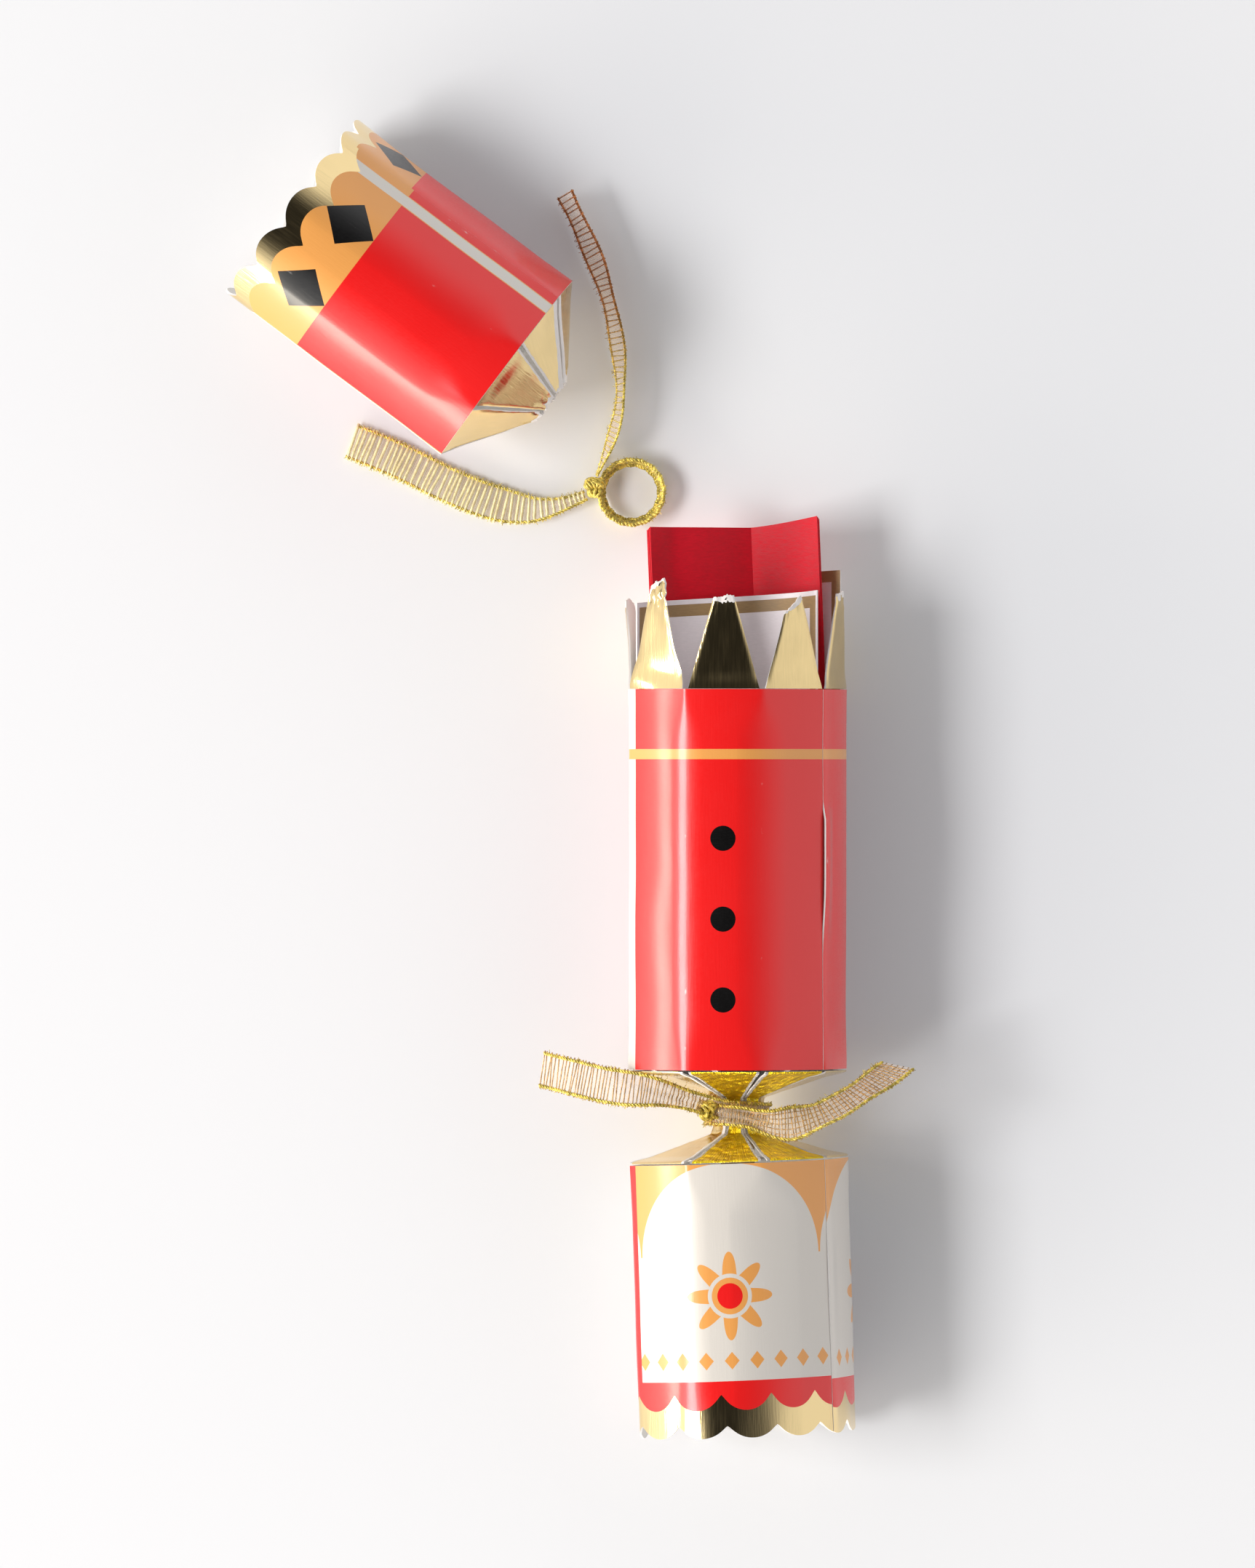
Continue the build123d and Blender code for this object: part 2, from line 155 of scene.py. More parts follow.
lower_turn = (
    Matrix.Translation((0, waist, 0))
    @ Matrix.Rotation(math.radians(1.9), 4, "Z")
    @ Matrix.Translation((0, -waist, 0))
)
torn_turn = Matrix.Translation((-52.4, 116.1, 0)) @ Matrix.Rotation(math.radians(53.13), 4, "Z")
no_turn = Matrix.Identity(4)


def ink(red, green, blue):
    """A colour given as it looks on a screen, in steps of 255, as the linear colour that Blender uses"""
    channels = []
    for step in (red, green, blue):
        share = step / 255
        channels.append(share / 12.92 if share < 0.04045 else ((share + 0.055) / 1.055) ** 2.4)
    return channels[0], channels[1], channels[2], 1.0


def dimmed(colour, share):
    """A colour with less light"""
    return tuple(channel * share for channel in colour[:3]) + (1.0,)


class CardSettings(bpy.types.PropertyGroup):
    """Card, foil and print"""

    thickness: FloatProperty(
        name="Card thickness", description="Thickness of the printed card",
        default=0.00045, min=0.0002, max=0.001, unit="LENGTH", subtype="DISTANCE",
    )
    crease: FloatProperty(
        name="Crease softness", description="How far the softest crease is rounded to each side",
        default=0.0085, min=0.0002, max=0.0087, unit="LENGTH", subtype="DISTANCE",
    )
    bulge: FloatProperty(
        name="Panel bulge", description="How far the middle of a panel stands out",
        default=0.0006, min=0.0, max=0.002, unit="LENGTH", subtype="DISTANCE",
    )
    dents: FloatProperty(
        name="Dents", description="Depth of the soft dents that handling leaves in the card",
        default=0.00014, min=0.0, max=0.001, unit="LENGTH", subtype="DISTANCE",
    )
    red: FloatVectorProperty(
        name="Red ink", description="Main colour of the print",
        default=ink(244, 28, 28), size=4, min=0, max=1, subtype="COLOR",
    )
    tan: FloatVectorProperty(
        name="Tan ink", description="Colour of lines and bands",
        default=ink(243, 168, 88), size=4, min=0, max=1, subtype="COLOR",
    )
    white: FloatVectorProperty(
        name="White ink", description="Colour of stripes and of the lower end",
        default=ink(228, 221, 212), size=4, min=0, max=1, subtype="COLOR",
    )
    black: FloatVectorProperty(
        name="Black ink", description="Colour of dots and lozenges",
        default=ink(8, 6, 6), size=4, min=0, max=1, subtype="COLOR",
    )
    gold: FloatVectorProperty(
        name="Gold foil", description="Colour of the foil",
        default=ink(248, 221, 162), size=4, min=0, max=1, subtype="COLOR",
    )
    # Gold foil with a painted reflection: a deeper, more saturated yellow than the points' foil, standing in
    # for light bounced between the crumples of the neck
    neck_gold_with_painted_bounce: FloatVectorProperty(
        name="Neck foil", description="Colour of the creased foil of the neck",
        default=ink(255, 222, 48), size=4, min=0, max=1, subtype="COLOR",
    )
    reverse: FloatVectorProperty(
        name="Reverse", description="Colour of the bare back of the card",
        default=ink(240, 234, 230), size=4, min=0, max=1, subtype="COLOR",
    )


class ContentsSettings(bpy.types.PropertyGroup):
    """Paper hat and motto cards"""

    tissue: FloatVectorProperty(
        name="Tissue", description="Colour of the paper hat",
        default=ink(230, 14, 40), size=4, min=0, max=1, subtype="COLOR",
    )
    motto_white: FloatVectorProperty(
        name="Motto card", description="Colour of the motto cards",
        default=ink(248, 240, 243), size=4, min=0, max=1, subtype="COLOR",
    )
    kraft: FloatVectorProperty(
        name="Kraft frame", description="Colour of the frame on the motto cards and of the snap strips",
        default=ink(172, 140, 96), size=4, min=0, max=1, subtype="COLOR",
    )


class RibbonSettings(bpy.types.PropertyGroup):
    """Mesh ribbons"""

    width: FloatProperty(
        name="Ribbon width", description="Width of the ribbons from edge to edge",
        default=0.0087, min=0.003, max=0.02, unit="LENGTH", subtype="DISTANCE",
    )
    thread: FloatProperty(
        name="Thread", description="Radius of the threads across the ribbon",
        default=0.00012, min=0.00005, max=0.0005, unit="LENGTH", subtype="DISTANCE",
    )
    colour: FloatVectorProperty(
        name="Gold thread", description="Colour of the metallic thread",
        default=ink(255, 230, 112), size=4, min=0, max=1, subtype="COLOR",
    )
    pale: FloatVectorProperty(
        name="Pale thread", description="Colour of the threads across the ribbon",
        default=ink(255, 242, 188), size=4, min=0, max=1, subtype="COLOR",
    )
    # Painted reflection and shade: the far end of the narrow loose tail lies tilted in the torn end's shade,
    # and this reddish brown stands in for the red card's reflection on it
    painted_red_reflection: FloatVectorProperty(
        name="Painted reflection thread", description="Colour of the far end of the narrow loose tail",
        default=ink(206, 132, 74), size=4, min=0, max=1, subtype="COLOR",
    )
    weft: FloatVectorProperty(
        name="Weft", description="Colour of the fine threads across the tied ribbon",
        default=ink(216, 172, 112), size=4, min=0, max=1, subtype="COLOR",
    )


class StageSettings(bpy.types.PropertyGroup):
    """Floor, light and camera"""

    key: FloatProperty(
        name="Key light", description="Power of the soft light from the left",
        default=128.0, min=0.0, max=500.0, unit="POWER",
    )
    low_key: FloatProperty(
        name="Low light", description="Power of the weaker light under it",
        default=78.0, min=0.0, max=500.0, unit="POWER",
    )
    lens: FloatProperty(
        name="Lens", description="Focal length of the camera in millimetres",
        default=364.3, min=20.0, max=800.0,
    )
    floor: FloatVectorProperty(
        name="Floor", description="Colour of the pale floor",
        default=ink(244, 244, 246), size=4, min=0, max=1, subtype="COLOR",
    )


# Outline of the tube

def tube_corners():
    """The eight creases in x and z, clockwise from the left one"""
    headings = list(panel_headings) + [heading + 180 for heading in panel_headings]
    corners = [Vector((0.0, 0.0))]
    for heading in headings[:-1]:
        turn = math.radians(heading)
        corners.append(corners[-1] + Vector((math.cos(turn), math.sin(turn))) * panel)
    middle = sum(corner.x for corner in corners) / len(corners)
    bottom = min(corner.y for corner in corners)
    return [corner - Vector((middle, bottom)) for corner in corners]


corners = tube_corners()
axis = Vector((0.0, max(corner.y for corner in corners) / 2))


def panel_frame(index):
    """First crease of a panel, the way to the next crease, and the way out"""
    first = corners[index % 8]
    along = (corners[(index + 1) % 8] - first).normalized()
    return first, along, Vector((-along.y, along.x))


def apothem(index):
    """Distance from the axis of the tube to one panel"""
    first, along, outward = panel_frame(index)
    return (first - axis).dot(outward)


def on_panel(index, across):
    """A point of a panel, a little bulged"""
    bulge = bpy.context.scene.cracker_card.bulge / MM
    first, along, outward = panel_frame(index)
    share = across / panel
    return first + along * across + outward * (bulge * 4 * share * (1 - share))


def skin_point(place, folds, soft):
    """A point of the tube's skin in x and z, at a distance round it from the left crease"""
    softest = bpy.context.scene.cracker_card.crease / MM * soft
    place = place % around_tube
    index = int(place // panel) % 8
    across = place - index * panel
    if across < softest * folds[index]:
        corner, from_corner = index, across
    elif across > panel - softest * folds[(index + 1) % 8]:
        corner, from_corner = index + 1, across - panel
    else:
        return on_panel(index, across)
    crease = softest * folds[corner % 8]
    share = (from_corner + crease) / (2 * crease)
    before = on_panel(corner - 1, panel - crease)
    after = on_panel(corner, crease)
    middle = corners[corner % 8]
    return before * (1 - share) ** 2 + middle * (2 * share * (1 - share)) + after * share ** 2


def skin(place, lift, folds, soft):
    """A point of the skin, lifted off it"""
    ahead = skin_point(place + 0.05, folds, soft) - skin_point(place - 0.05, folds, soft)
    outward = Vector((-ahead.y, ahead.x)).normalized()
    return skin_point(place, folds, soft) + outward * lift


def soft_least(first, second, reach):
    """The lesser of two values, rounded where they are within a reach of each other"""
    near_share = max(reach - abs(first - second), 0.0) / reach
    return min(first, second) - near_share ** 3 * reach / 6


def scallop(place, depth):
    """How far a scalloped edge stands back from its tips, at a distance round the tube"""
    half = scallop_pitch / 2
    radius = (half * half + depth * depth) / (2 * depth)
    across = abs((place - 1.5) % scallop_pitch - half)
    across = soft_least(across, half - 0.15, 1.3)
    return radius - math.sqrt(radius * radius - across * across)


def smooth(share):
    """Eases from 0 to 1"""
    share = min(max(share, 0.0), 1.0)
    return share * share * (3 - 2 * share)


def wobble(x, y, z, size):
    """Soft unevenness between -1 and 1, with lumps of about a size"""
    return noise.noise(Vector((x, y, z)) / size)


# Making meshes

def place_object(name, mesh, materials):
    """Puts a mesh into the scene with its finishes"""
    made = bpy.data.objects.new(name, mesh)
    for material in materials:
        mesh.materials.append(material)
    bpy.context.scene.collection.objects.link(made)
    return made


def sheet(name, columns, rows, point, turn, thickness, materials, flip=False):
    """A sheet with some thickness: a grid whose points a function puts in place

    The function gives a point, its place on the flat sheet and its distance from a torn edge, in millimetres.
    """
    mesh = bpy.data.meshes.new(name)
    bm = bmesh.new()
    bmesh.ops.create_grid(bm, x_segments=columns, y_segments=rows, size=0.5)
    flat = bm.loops.layers.uv.new("flat")
    tear = bm.verts.layers.float.new("tear")
    flat_places = {}
    for vert in bm.verts:
        spot, flat_place, torn = point(vert.co.x + 0.5, vert.co.y + 0.5)
        vert.co = (turn @ Vector(spot)) * MM
        flat_places[vert] = Vector(flat_place) * 0.01
        vert[tear] = torn
    for face in bm.faces:
        face.smooth = True
        for loop in face.loops:
            loop[flat].uv = flat_places[loop.vert]
    if flip:
        bmesh.ops.reverse_faces(bm, faces=bm.faces[:])
    bm.to_mesh(mesh)
    bm.free()
    made = place_object(name, mesh, materials)
    wall = made.modifiers.new("wall", "SOLIDIFY")
    wall.thickness = thickness * MM
    wall.offset = -1.0
    wall.use_even_offset = True
    wall.material_offset = 1
    wall.material_offset_rim = 2
    return harden(made)


def harden(made):
    """Applies the modifiers of a piece and keeps its edges crisp"""
    depsgraph = bpy.context.evaluated_depsgraph_get()
    mesh = bpy.data.meshes.new_from_object(made.evaluated_get(depsgraph))
    old = made.data
    made.modifiers.clear()
    made.data = mesh
    bpy.data.meshes.remove(old)
    mesh.name = made.name
    mesh.set_sharp_from_angle(angle=math.radians(40))
    return made


def strands(name, groups, materials):
    """Threads as thin tubes: each group has a radius, a number of sides, a finish and its lines"""
    bm = bmesh.new()
    for radius, rounding, finish, lines in groups:
        curve = bpy.data.curves.new("threads", "CURVE")
        curve.dimensions = "3D"
        curve.bevel_depth = radius * MM
        curve.bevel_resolution = rounding
        curve.use_fill_caps = True
        for line in lines:
            spline = curve.splines.new("POLY")
            spline.points.add(len(line) - 1)
            for knot, spot in zip(spline.points, line):
                knot.co = (spot[0] * MM, spot[1] * MM, max(spot[2], radius) * MM, 1.0)
        holder = bpy.data.objects.new("threads", curve)
        tubes = bpy.data.meshes.new_from_object(holder)
        first = len(bm.faces)
        bm.from_mesh(tubes)
        bm.faces.ensure_lookup_table()
        for face in bm.faces[first:]:
            face.material_index = finish
            face.smooth = True
        bpy.data.objects.remove(holder)
        bpy.data.curves.remove(curve)
        bpy.data.meshes.remove(tubes)
    bmesh.ops.remove_doubles(bm, verts=bm.verts[:], dist=1e-7)
    bmesh.ops.recalc_face_normals(bm, faces=bm.faces[:])
    mesh = bpy.data.meshes.new(name)
    bm.to_mesh(mesh)
    bm.free()
    return place_object(name, mesh, materials)


def route_line(route):
    """Points along the smooth line that has a route's points as its control points, in millimetres"""
    curve = bpy.data.curves.new("route", "CURVE")
    curve.dimensions = "3D"
    curve.resolution_u = 12
    spline = curve.splines.new("NURBS")
    spline.points.add(len(route) - 1)
    for knot, spot in zip(spline.points, route):
        knot.co = (*(Vector(spot) * MM), 1.0)
    spline.order_u = 3
    spline.use_endpoint_u = True
    holder = bpy.data.objects.new("route", curve)
    mesh = bpy.data.meshes.new_from_object(holder)
    line = [vert.co / MM for vert in mesh.vertices]
    bpy.data.objects.remove(holder)
    bpy.data.curves.remove(curve)
    bpy.data.meshes.remove(mesh)
    return line


class Walk:
    """A line that can be walked by distance"""

    def __init__(self, line):
        self.line = line
        self.reached = [0.0]
        for before, after in zip(line, line[1:]):
            self.reached.append(self.reached[-1] + (after - before).length)
        self.length = self.reached[-1]

    def at(self, distance):
        """The point at a distance from the start"""
        distance = min(max(distance, 0.0), self.length)
        low, high = 0, len(self.reached) - 1
        while high - low > 1:
            middle = (low + high) // 2
            if self.reached[middle] <= distance:
                low = middle
            else:
                high = middle
        span = self.reached[high] - self.reached[low]
        share = (distance - self.reached[low]) / span if span else 0.0
        return self.line[low].lerp(self.line[high], share)

    def frame(self, distance, hint):
        """Point, side and up of a ribbon that lies along the line with its width near a hint"""
        ahead = (self.at(distance + 0.6) - self.at(distance - 0.6)).normalized()
        side = (hint - ahead * hint.dot(ahead)).normalized()
        return self.at(distance), side, ahead.cross(side)


# Nodes

class Bench:
    """Adds nodes to one tree in short calls"""

    def __init__(self, tree):
        self.tree = tree

    def put(self, socket, value):
        """Links or sets an input"""
        if isinstance(value, bpy.types.NodeSocket):
            self.tree.links.new(value, socket)
        else:
            socket.default_value = value

    def math(self, operation, *values):
        """A sum or comparison"""
        made = self.tree.nodes.new("ShaderNodeMath")
        made.operation = operation
        for socket, value in zip(made.inputs, values):
            self.put(socket, value)
        return made.outputs[0]

    def times(self, first, second):
        """A product"""
        return self.math("MULTIPLY", first, second)

    def plus(self, first, second):
        """A sum"""
        return self.math("ADD", first, second)

    def minus(self, first, second):
        """A difference"""
        return self.math("SUBTRACT", first, second)

    def apart(self, first, second):
        """How far two values are apart"""
        return self.math("ABSOLUTE", self.minus(first, second))

    def far(self, across, down):
        """Distance from a middle, from the distances across and down"""
        return self.math("SQRT", self.plus(self.times(across, across), self.times(down, down)))

    def mix(self, share, first, second):
        """One colour laid over another"""
        made = self.tree.nodes.new("ShaderNodeMix")
        made.data_type = "RGBA"
        self.put(made.inputs[0], share)
        self.put(made.inputs[6], first)
        self.put(made.inputs[7], second)
        return made.outputs[2]

    def span(self, value, low, high, start=0.0, stop=1.0):
        """A value brought from one range to another, eased"""
        made = self.tree.nodes.new("ShaderNodeMapRange")
        made.interpolation_type = "SMOOTHSTEP"
        for socket, amount in zip(made.inputs, (value, low, high, start, stop)):
            self.put(socket, amount)
        return made.outputs[0]

    def noise(self, place, scale, detail=2.0):
        """Cloudy noise between 0 and 1"""
        made = self.tree.nodes.new("ShaderNodeTexNoise")
        self.put(made.inputs["Vector"], place)
        self.put(made.inputs["Scale"], scale)
        self.put(made.inputs["Detail"], detail)
        return made.outputs["Fac"]

    def stretched(self, place, sizes):
        """A place with each direction scaled"""
        made = self.tree.nodes.new("ShaderNodeMapping")
        self.put(made.inputs["Vector"], place)
        made.inputs["Scale"].default_value = sizes
        return made.outputs["Vector"]

    def group(self, tree, **values):
        """A node group by name, with its inputs"""
        made = self.tree.nodes.new("ShaderNodeGroup")
        made.node_tree = bpy.data.node_groups[tree]
        for name, value in values.items():
            self.put(made.inputs[name.replace("_", " ").capitalize()], value)
        return made

    def object_place(self):
        """Object coordinates"""
        return self.tree.nodes.new("ShaderNodeTexCoord").outputs["Object"]

    def flat_place(self):
        """Distance round and along the flat sheet in millimetres"""
        made = self.tree.nodes.new("ShaderNodeUVMap")
        made.uv_map = "flat"
        parts = self.tree.nodes.new("ShaderNodeSeparateXYZ")
        self.tree.links.new(made.outputs["UV"], parts.inputs[0])
        return self.times(parts.outputs[0], 100.0), self.times(parts.outputs[1], 100.0)

    def flat_vector(self):
        """Place on the flat sheet as a vector"""
        made = self.tree.nodes.new("ShaderNodeUVMap")
        made.uv_map = "flat"
        return made.outputs["UV"]

    def bump(self, height, strength, distance):
        """A bump from a height"""
        made = self.tree.nodes.new("ShaderNodeBump")
        made.inputs["Strength"].default_value = strength
        made.inputs["Distance"].default_value = distance
        self.put(made.inputs["Height"], height)
        return made.outputs["Normal"]

    def either(self, first, second):
        """Two masks together"""
        return self.math("MAXIMUM", first, second)


def new_group(name, inputs, outputs):
    """An empty node group with named sockets"""
    tree = bpy.data.node_groups.new(name, "ShaderNodeTree")
    for socket, kind in inputs:
        tree.interface.new_socket(socket, in_out="INPUT", socket_type="NodeSocket" + kind)
    for socket, kind in outputs:
        tree.interface.new_socket(socket, in_out="OUTPUT", socket_type="NodeSocket" + kind)
    enter = tree.nodes.new("NodeGroupInput")
    leave = tree.nodes.new("NodeGroupOutput")
    return tree, Bench(tree), enter.outputs, leave.inputs


def paper_grain_group():
    """Fibres of bare paper: a shade and a height"""
    tree, bench, given, wanted = new_group(
        "paper_grain", [("Place", "Vector"), ("Size", "Float")], [("Shade", "Float"), ("Height", "Float")],
    )
    cloud = bench.noise(given["Place"], bench.times(given["Size"], 60.0), 3.0)
    drawn = bench.stretched(given["Place"], (1.0, 4.0, 1.0))
    fibre = bench.noise(drawn, bench.times(given["Size"], 900.0))
    both = bench.plus(bench.times(cloud, 0.5), bench.times(fibre, 0.5))
    bench.put(wanted["Shade"], bench.span(both, 0.3, 0.7))
    bench.put(wanted["Height"], fibre)
    return tree


def foil_wrinkle_group():
    """Fine creases of metal foil on card: a tone, a roughness and a height"""
    tree, bench, given, wanted = new_group(
        "foil_wrinkle", [("Place", "Vector"), ("Flat", "Vector"), ("Size", "Float")],
        [("Tone", "Float"), ("Roughness", "Float"), ("Height", "Float")],
    )
    folds = bench.tree.nodes.new("ShaderNodeTexVoronoi")
    folds.feature = "SMOOTH_F1"
    bench.put(folds.inputs["Vector"], given["Place"])
    bench.put(folds.inputs["Scale"], bench.times(given["Size"], 260.0))
    cloud = bench.noise(given["Place"], bench.times(given["Size"], 130.0), 3.0)
    brushed = bench.noise(bench.stretched(given["Flat"], (1.0, 0.06, 1.0)), 240.0, 3.0)
    tone = bench.plus(cloud, bench.times(brushed, 0.4))
    bench.put(wanted["Tone"], bench.span(tone, 0.45, 0.95))
    bench.put(wanted["Roughness"], bench.span(brushed, 0.2, 0.8, 0.09, 0.2))
    height = bench.plus(folds.outputs["Distance"], bench.times(cloud, 0.6))
    bench.put(wanted["Height"], bench.plus(height, bench.times(brushed, 0.9)))
    return tree


def crease_wear_group():
    """Rubbed ink along the creases of the tube: a mask"""
    tree, bench, given, wanted = new_group(
        "crease_wear", [("Around", "Float"), ("Place", "Vector")], [("Mask", "Float")],
    )
    from_crease = bench.math("ABSOLUTE", bench.math("WRAP", given["Around"], panel / 2, -panel / 2))
    patchy = bench.span(bench.noise(given["Place"], 320.0, 4.0), 0.62, 0.8)
    bench.put(wanted["Mask"], bench.times(patchy, bench.span(from_crease, 0.35, 0.05)))
    return tree


def scalloped_gold_group():
    """Gold beyond a row of printed scallops: a mask"""
    tree, bench, given, wanted = new_group(
        "scalloped_gold", [("Around", "Float"), ("Along", "Float"), ("Tip", "Float")], [("Mask", "Float")],
    )
    half = scallop_pitch / 2
    depth = 4.6
    radius = (half * half + depth * depth) / (2 * depth)
    across = bench.math("WRAP", bench.plus(given["Around"], -1.0 - half), half, -half)
    across = bench.math("ABSOLUTE", across)
    across = bench.math("SMOOTH_MIN", across, half - 0.15, 1.6)
    lobe = bench.math("SQRT", bench.minus(radius * radius, bench.times(across, across)))
    edge = bench.plus(bench.minus(given["Tip"], radius), lobe)
    bench.put(wanted["Mask"], bench.math("GREATER_THAN", given["Along"], edge))
    return tree


def new_material(name):
    """A material with its bench and its shader"""
    material = bpy.data.materials.new(name)
    material.use_nodes = True
    return material, Bench(material.node_tree), material.node_tree.nodes["Principled BSDF"]


def calm_bounce(bench, colour):
    """A colour whose light on the floor is mostly grey"""
    bounced = bench.tree.nodes.new("ShaderNodeLightPath").outputs["Is Diffuse Ray"]
    return bench.mix(bench.times(bounced, 0.8), colour, (0.3, 0.3, 0.3, 1.0))


def near(bench, value, middle, half):
    """1 where a value lies within a distance of a middle"""
    return bench.math("LESS_THAN", bench.apart(value, middle), half)


def stripes(bench, around, middles, half):
    """1 on stripes along the tube"""
    mask = near(bench, around, middles[0], half)
    for middle in middles[1:]:
        mask = bench.either(mask, near(bench, around, middle, half))
    return mask


def from_repeat(bench, around, middle):
    """Distance round the tube from the nearest middle of the print's repeat"""
    half = print_repeat / 2
    return bench.math("WRAP", bench.minus(around, middle), half, -half)


def barrel_paint(bench, around, along):
    """Red with a tan line, black dots and a white stripe"""
    card = bpy.context.scene.cracker_card
    stripe = stripes(bench, around, (96.8, around_tube + 1.1), 1.5)
    line = near(bench, along, 14.7, 1.15)
    across = from_repeat(bench, around, 26.2)
    down = bench.math("WRAP", bench.minus(along, 33.7), 9.12, -9.12)
    far = bench.far(across, down)
    dot = bench.times(bench.math("LESS_THAN", far, 2.85), near(bench, along, 52.0, 26.0))
    colour = bench.mix(stripe, card.red, card.white)
    colour = bench.mix(line, colour, card.tan)
    return bench.mix(dot, colour, card.black), None


def torn_end_paint(bench, around, along):
    """Red with white stripes, a tan band of black lozenges and a gold rim"""
    card = bpy.context.scene.cracker_card
    across = from_repeat(bench, around, 25.5)
    band = bench.math("GREATER_THAN", along, 41.0)
    aside = bench.apart(bench.math("ABSOLUTE", across), 9.6)
    down = bench.apart(along, 47.6)
    reach = bench.plus(bench.math("DIVIDE", aside, 6.0), bench.math("DIVIDE", down, 6.6))
    lozenge = bench.math("LESS_THAN", reach, 1.0)
    lines = stripes(bench, around, (95.0, 140.2, 189.8), 1.75)
    stripe = stripes(bench, around, (95.0, 140.2, 189.8), 1.5)
    colour = bench.mix(band, card.red, card.tan)
    colour = bench.mix(lozenge, colour, card.black)
    colour = bench.mix(lines, colour, card.tan)
    colour = bench.mix(stripe, colour, card.white)
    gold = bench.group("scalloped_gold", around=around, along=along, tip=56.6)
    return colour, gold.outputs["Mask"]


def lower_end_paint(bench, around, along):
    """White arches on tan, a tan star, a red hem and a gold rim"""
    card = bpy.context.scene.cracker_card
    across = from_repeat(bench, around, 27.2)
    aside = bench.math("ABSOLUTE", across)
    reach = bench.math("MINIMUM", bench.math("DIVIDE", aside, 23.2), 1.0)
    arch = bench.math("SQRT", bench.minus(1.0, bench.times(reach, reach)))
    outside = bench.math("LESS_THAN", along, bench.times(bench.minus(1.0, arch), 21.0))
    down = bench.minus(along, 30.0)
    far = bench.far(across, down)
    heading = bench.math("ARCTAN2", across, down)
    rays = bench.math("COSINE", bench.times(heading, 8.0))
    star = bench.math("LESS_THAN", far, bench.plus(7.4, bench.times(rays, 2.6)))
    heart = bench.math("LESS_THAN", far, 2.9)
    ring = near(bench, far, 4.6, 0.45)
    lozenges = bench.math("ABSOLUTE", bench.math("WRAP", across, print_repeat / 16, -print_repeat / 16))
    border = bench.math("DIVIDE", bench.apart(along, 44.6), 2.0)
    border = bench.plus(bench.math("DIVIDE", lozenges, 1.7), border)
    edge = stripes(bench, around, (95.0, around_tube + 1.2), 1.4)
    hem = bench.math("GREATER_THAN", along, 49.2)
    colour = bench.mix(outside, card.white, card.tan)
    colour = bench.mix(star, colour, card.tan)
    colour = bench.mix(bench.math("LESS_THAN", border, 1.0), colour, card.tan)
    colour = bench.mix(ring, colour, card.white)
    colour = bench.mix(bench.either(bench.either(heart, edge), hem), colour, card.red)
    gold = bench.group("scalloped_gold", around=around, along=along, tip=55.8)
    return colour, gold.outputs["Mask"]


def print_material(name, paint):
    """Glossy printed card"""
    card = bpy.context.scene.cracker_card
    material, bench, shader = new_material(name)
    around, along = bench.flat_place()
    place = bench.object_place()
    colour, gold = paint(bench, around, along)
    wear = bench.group("crease_wear", around=around, place=place)
    foil = bench.group("foil_wrinkle", place=place, flat=bench.flat_vector(), size=0.6)
    grain = bench.group("paper_grain", place=place, size=1.0)
    rough = bench.span(grain.outputs["Shade"], 0.0, 1.0, 0.28, 0.36)
    if gold is not None:
        colour = bench.mix(gold, colour, card.gold)
        bench.put(shader.inputs["Metallic"], gold)
        shiny = bench.times(gold, foil.outputs["Roughness"])
        rough = bench.plus(bench.times(rough, bench.minus(1.0, gold)), shiny)
    colour = bench.mix(bench.times(wear.outputs["Mask"], 0.55), colour, card.reverse)
    bench.put(shader.inputs["Base Color"], calm_bounce(bench, colour))
    bench.put(shader.inputs["Roughness"], rough)
    height = bench.plus(bench.times(grain.outputs["Height"], 0.25), foil.outputs["Height"])
    bench.put(shader.inputs["Normal"], bench.bump(height, 0.12, 0.0002))
    shader.inputs["Coat Weight"].default_value = 0.6
    shader.inputs["Coat Roughness"].default_value = 0.16
    return material


def paper_material(name, colour, shade, size, rough, strength):
    """Bare paper: its colour, the shade and size of its fibres, its roughness and the depth of its grain"""
    material, bench, shader = new_material(name)
    grain = bench.group("paper_grain", place=bench.object_place(), size=size)
    bench.put(shader.inputs["Base Color"], bench.mix(grain.outputs["Shade"], dimmed(colour, shade), colour))
    bench.put(shader.inputs["Roughness"], bench.span(grain.outputs["Shade"], 0.0, 1.0, *rough))
    bench.put(shader.inputs["Normal"], bench.bump(grain.outputs["Height"], strength, 0.0001))
    return material


def foil_material(name, gold, size, strength, distance, dull):
    """Gold foil on card, white where it is torn, duller where it is crumpled"""
    card = bpy.context.scene.cracker_card
    material, bench, shader = new_material(name)
    place = bench.object_place()
    foil = bench.group("foil_wrinkle", place=place, flat=bench.flat_vector(), size=size)
    grain = bench.group("paper_grain", place=place, size=1.0)
    deep = dimmed(gold, 0.86)
    torn = bench.tree.nodes.new("ShaderNodeAttribute")
    torn.attribute_name = "tear"
    ragged = bench.span(bench.noise(place, 420.0, 3.0), 0.3, 0.7, 0.4, 1.7)
    bare = bench.math("LESS_THAN", torn.outputs["Fac"], ragged)
    colour = bench.mix(foil.outputs["Tone"], deep, gold)
    bench.put(shader.inputs["Base Color"], bench.mix(bare, colour, card.reverse))
    bench.put(shader.inputs["Metallic"], bench.minus(1.0, bare))
    rough = bench.plus(foil.outputs["Roughness"], dull)
    bench.put(shader.inputs["Roughness"], bench.math("MAXIMUM", rough, bench.times(bare, 0.7)))
    fibres = bench.times(bench.times(bare, grain.outputs["Height"]), 2.0)
    height = bench.plus(foil.outputs["Height"], fibres)
    bench.put(shader.inputs["Normal"], bench.bump(height, strength, distance))
    return material


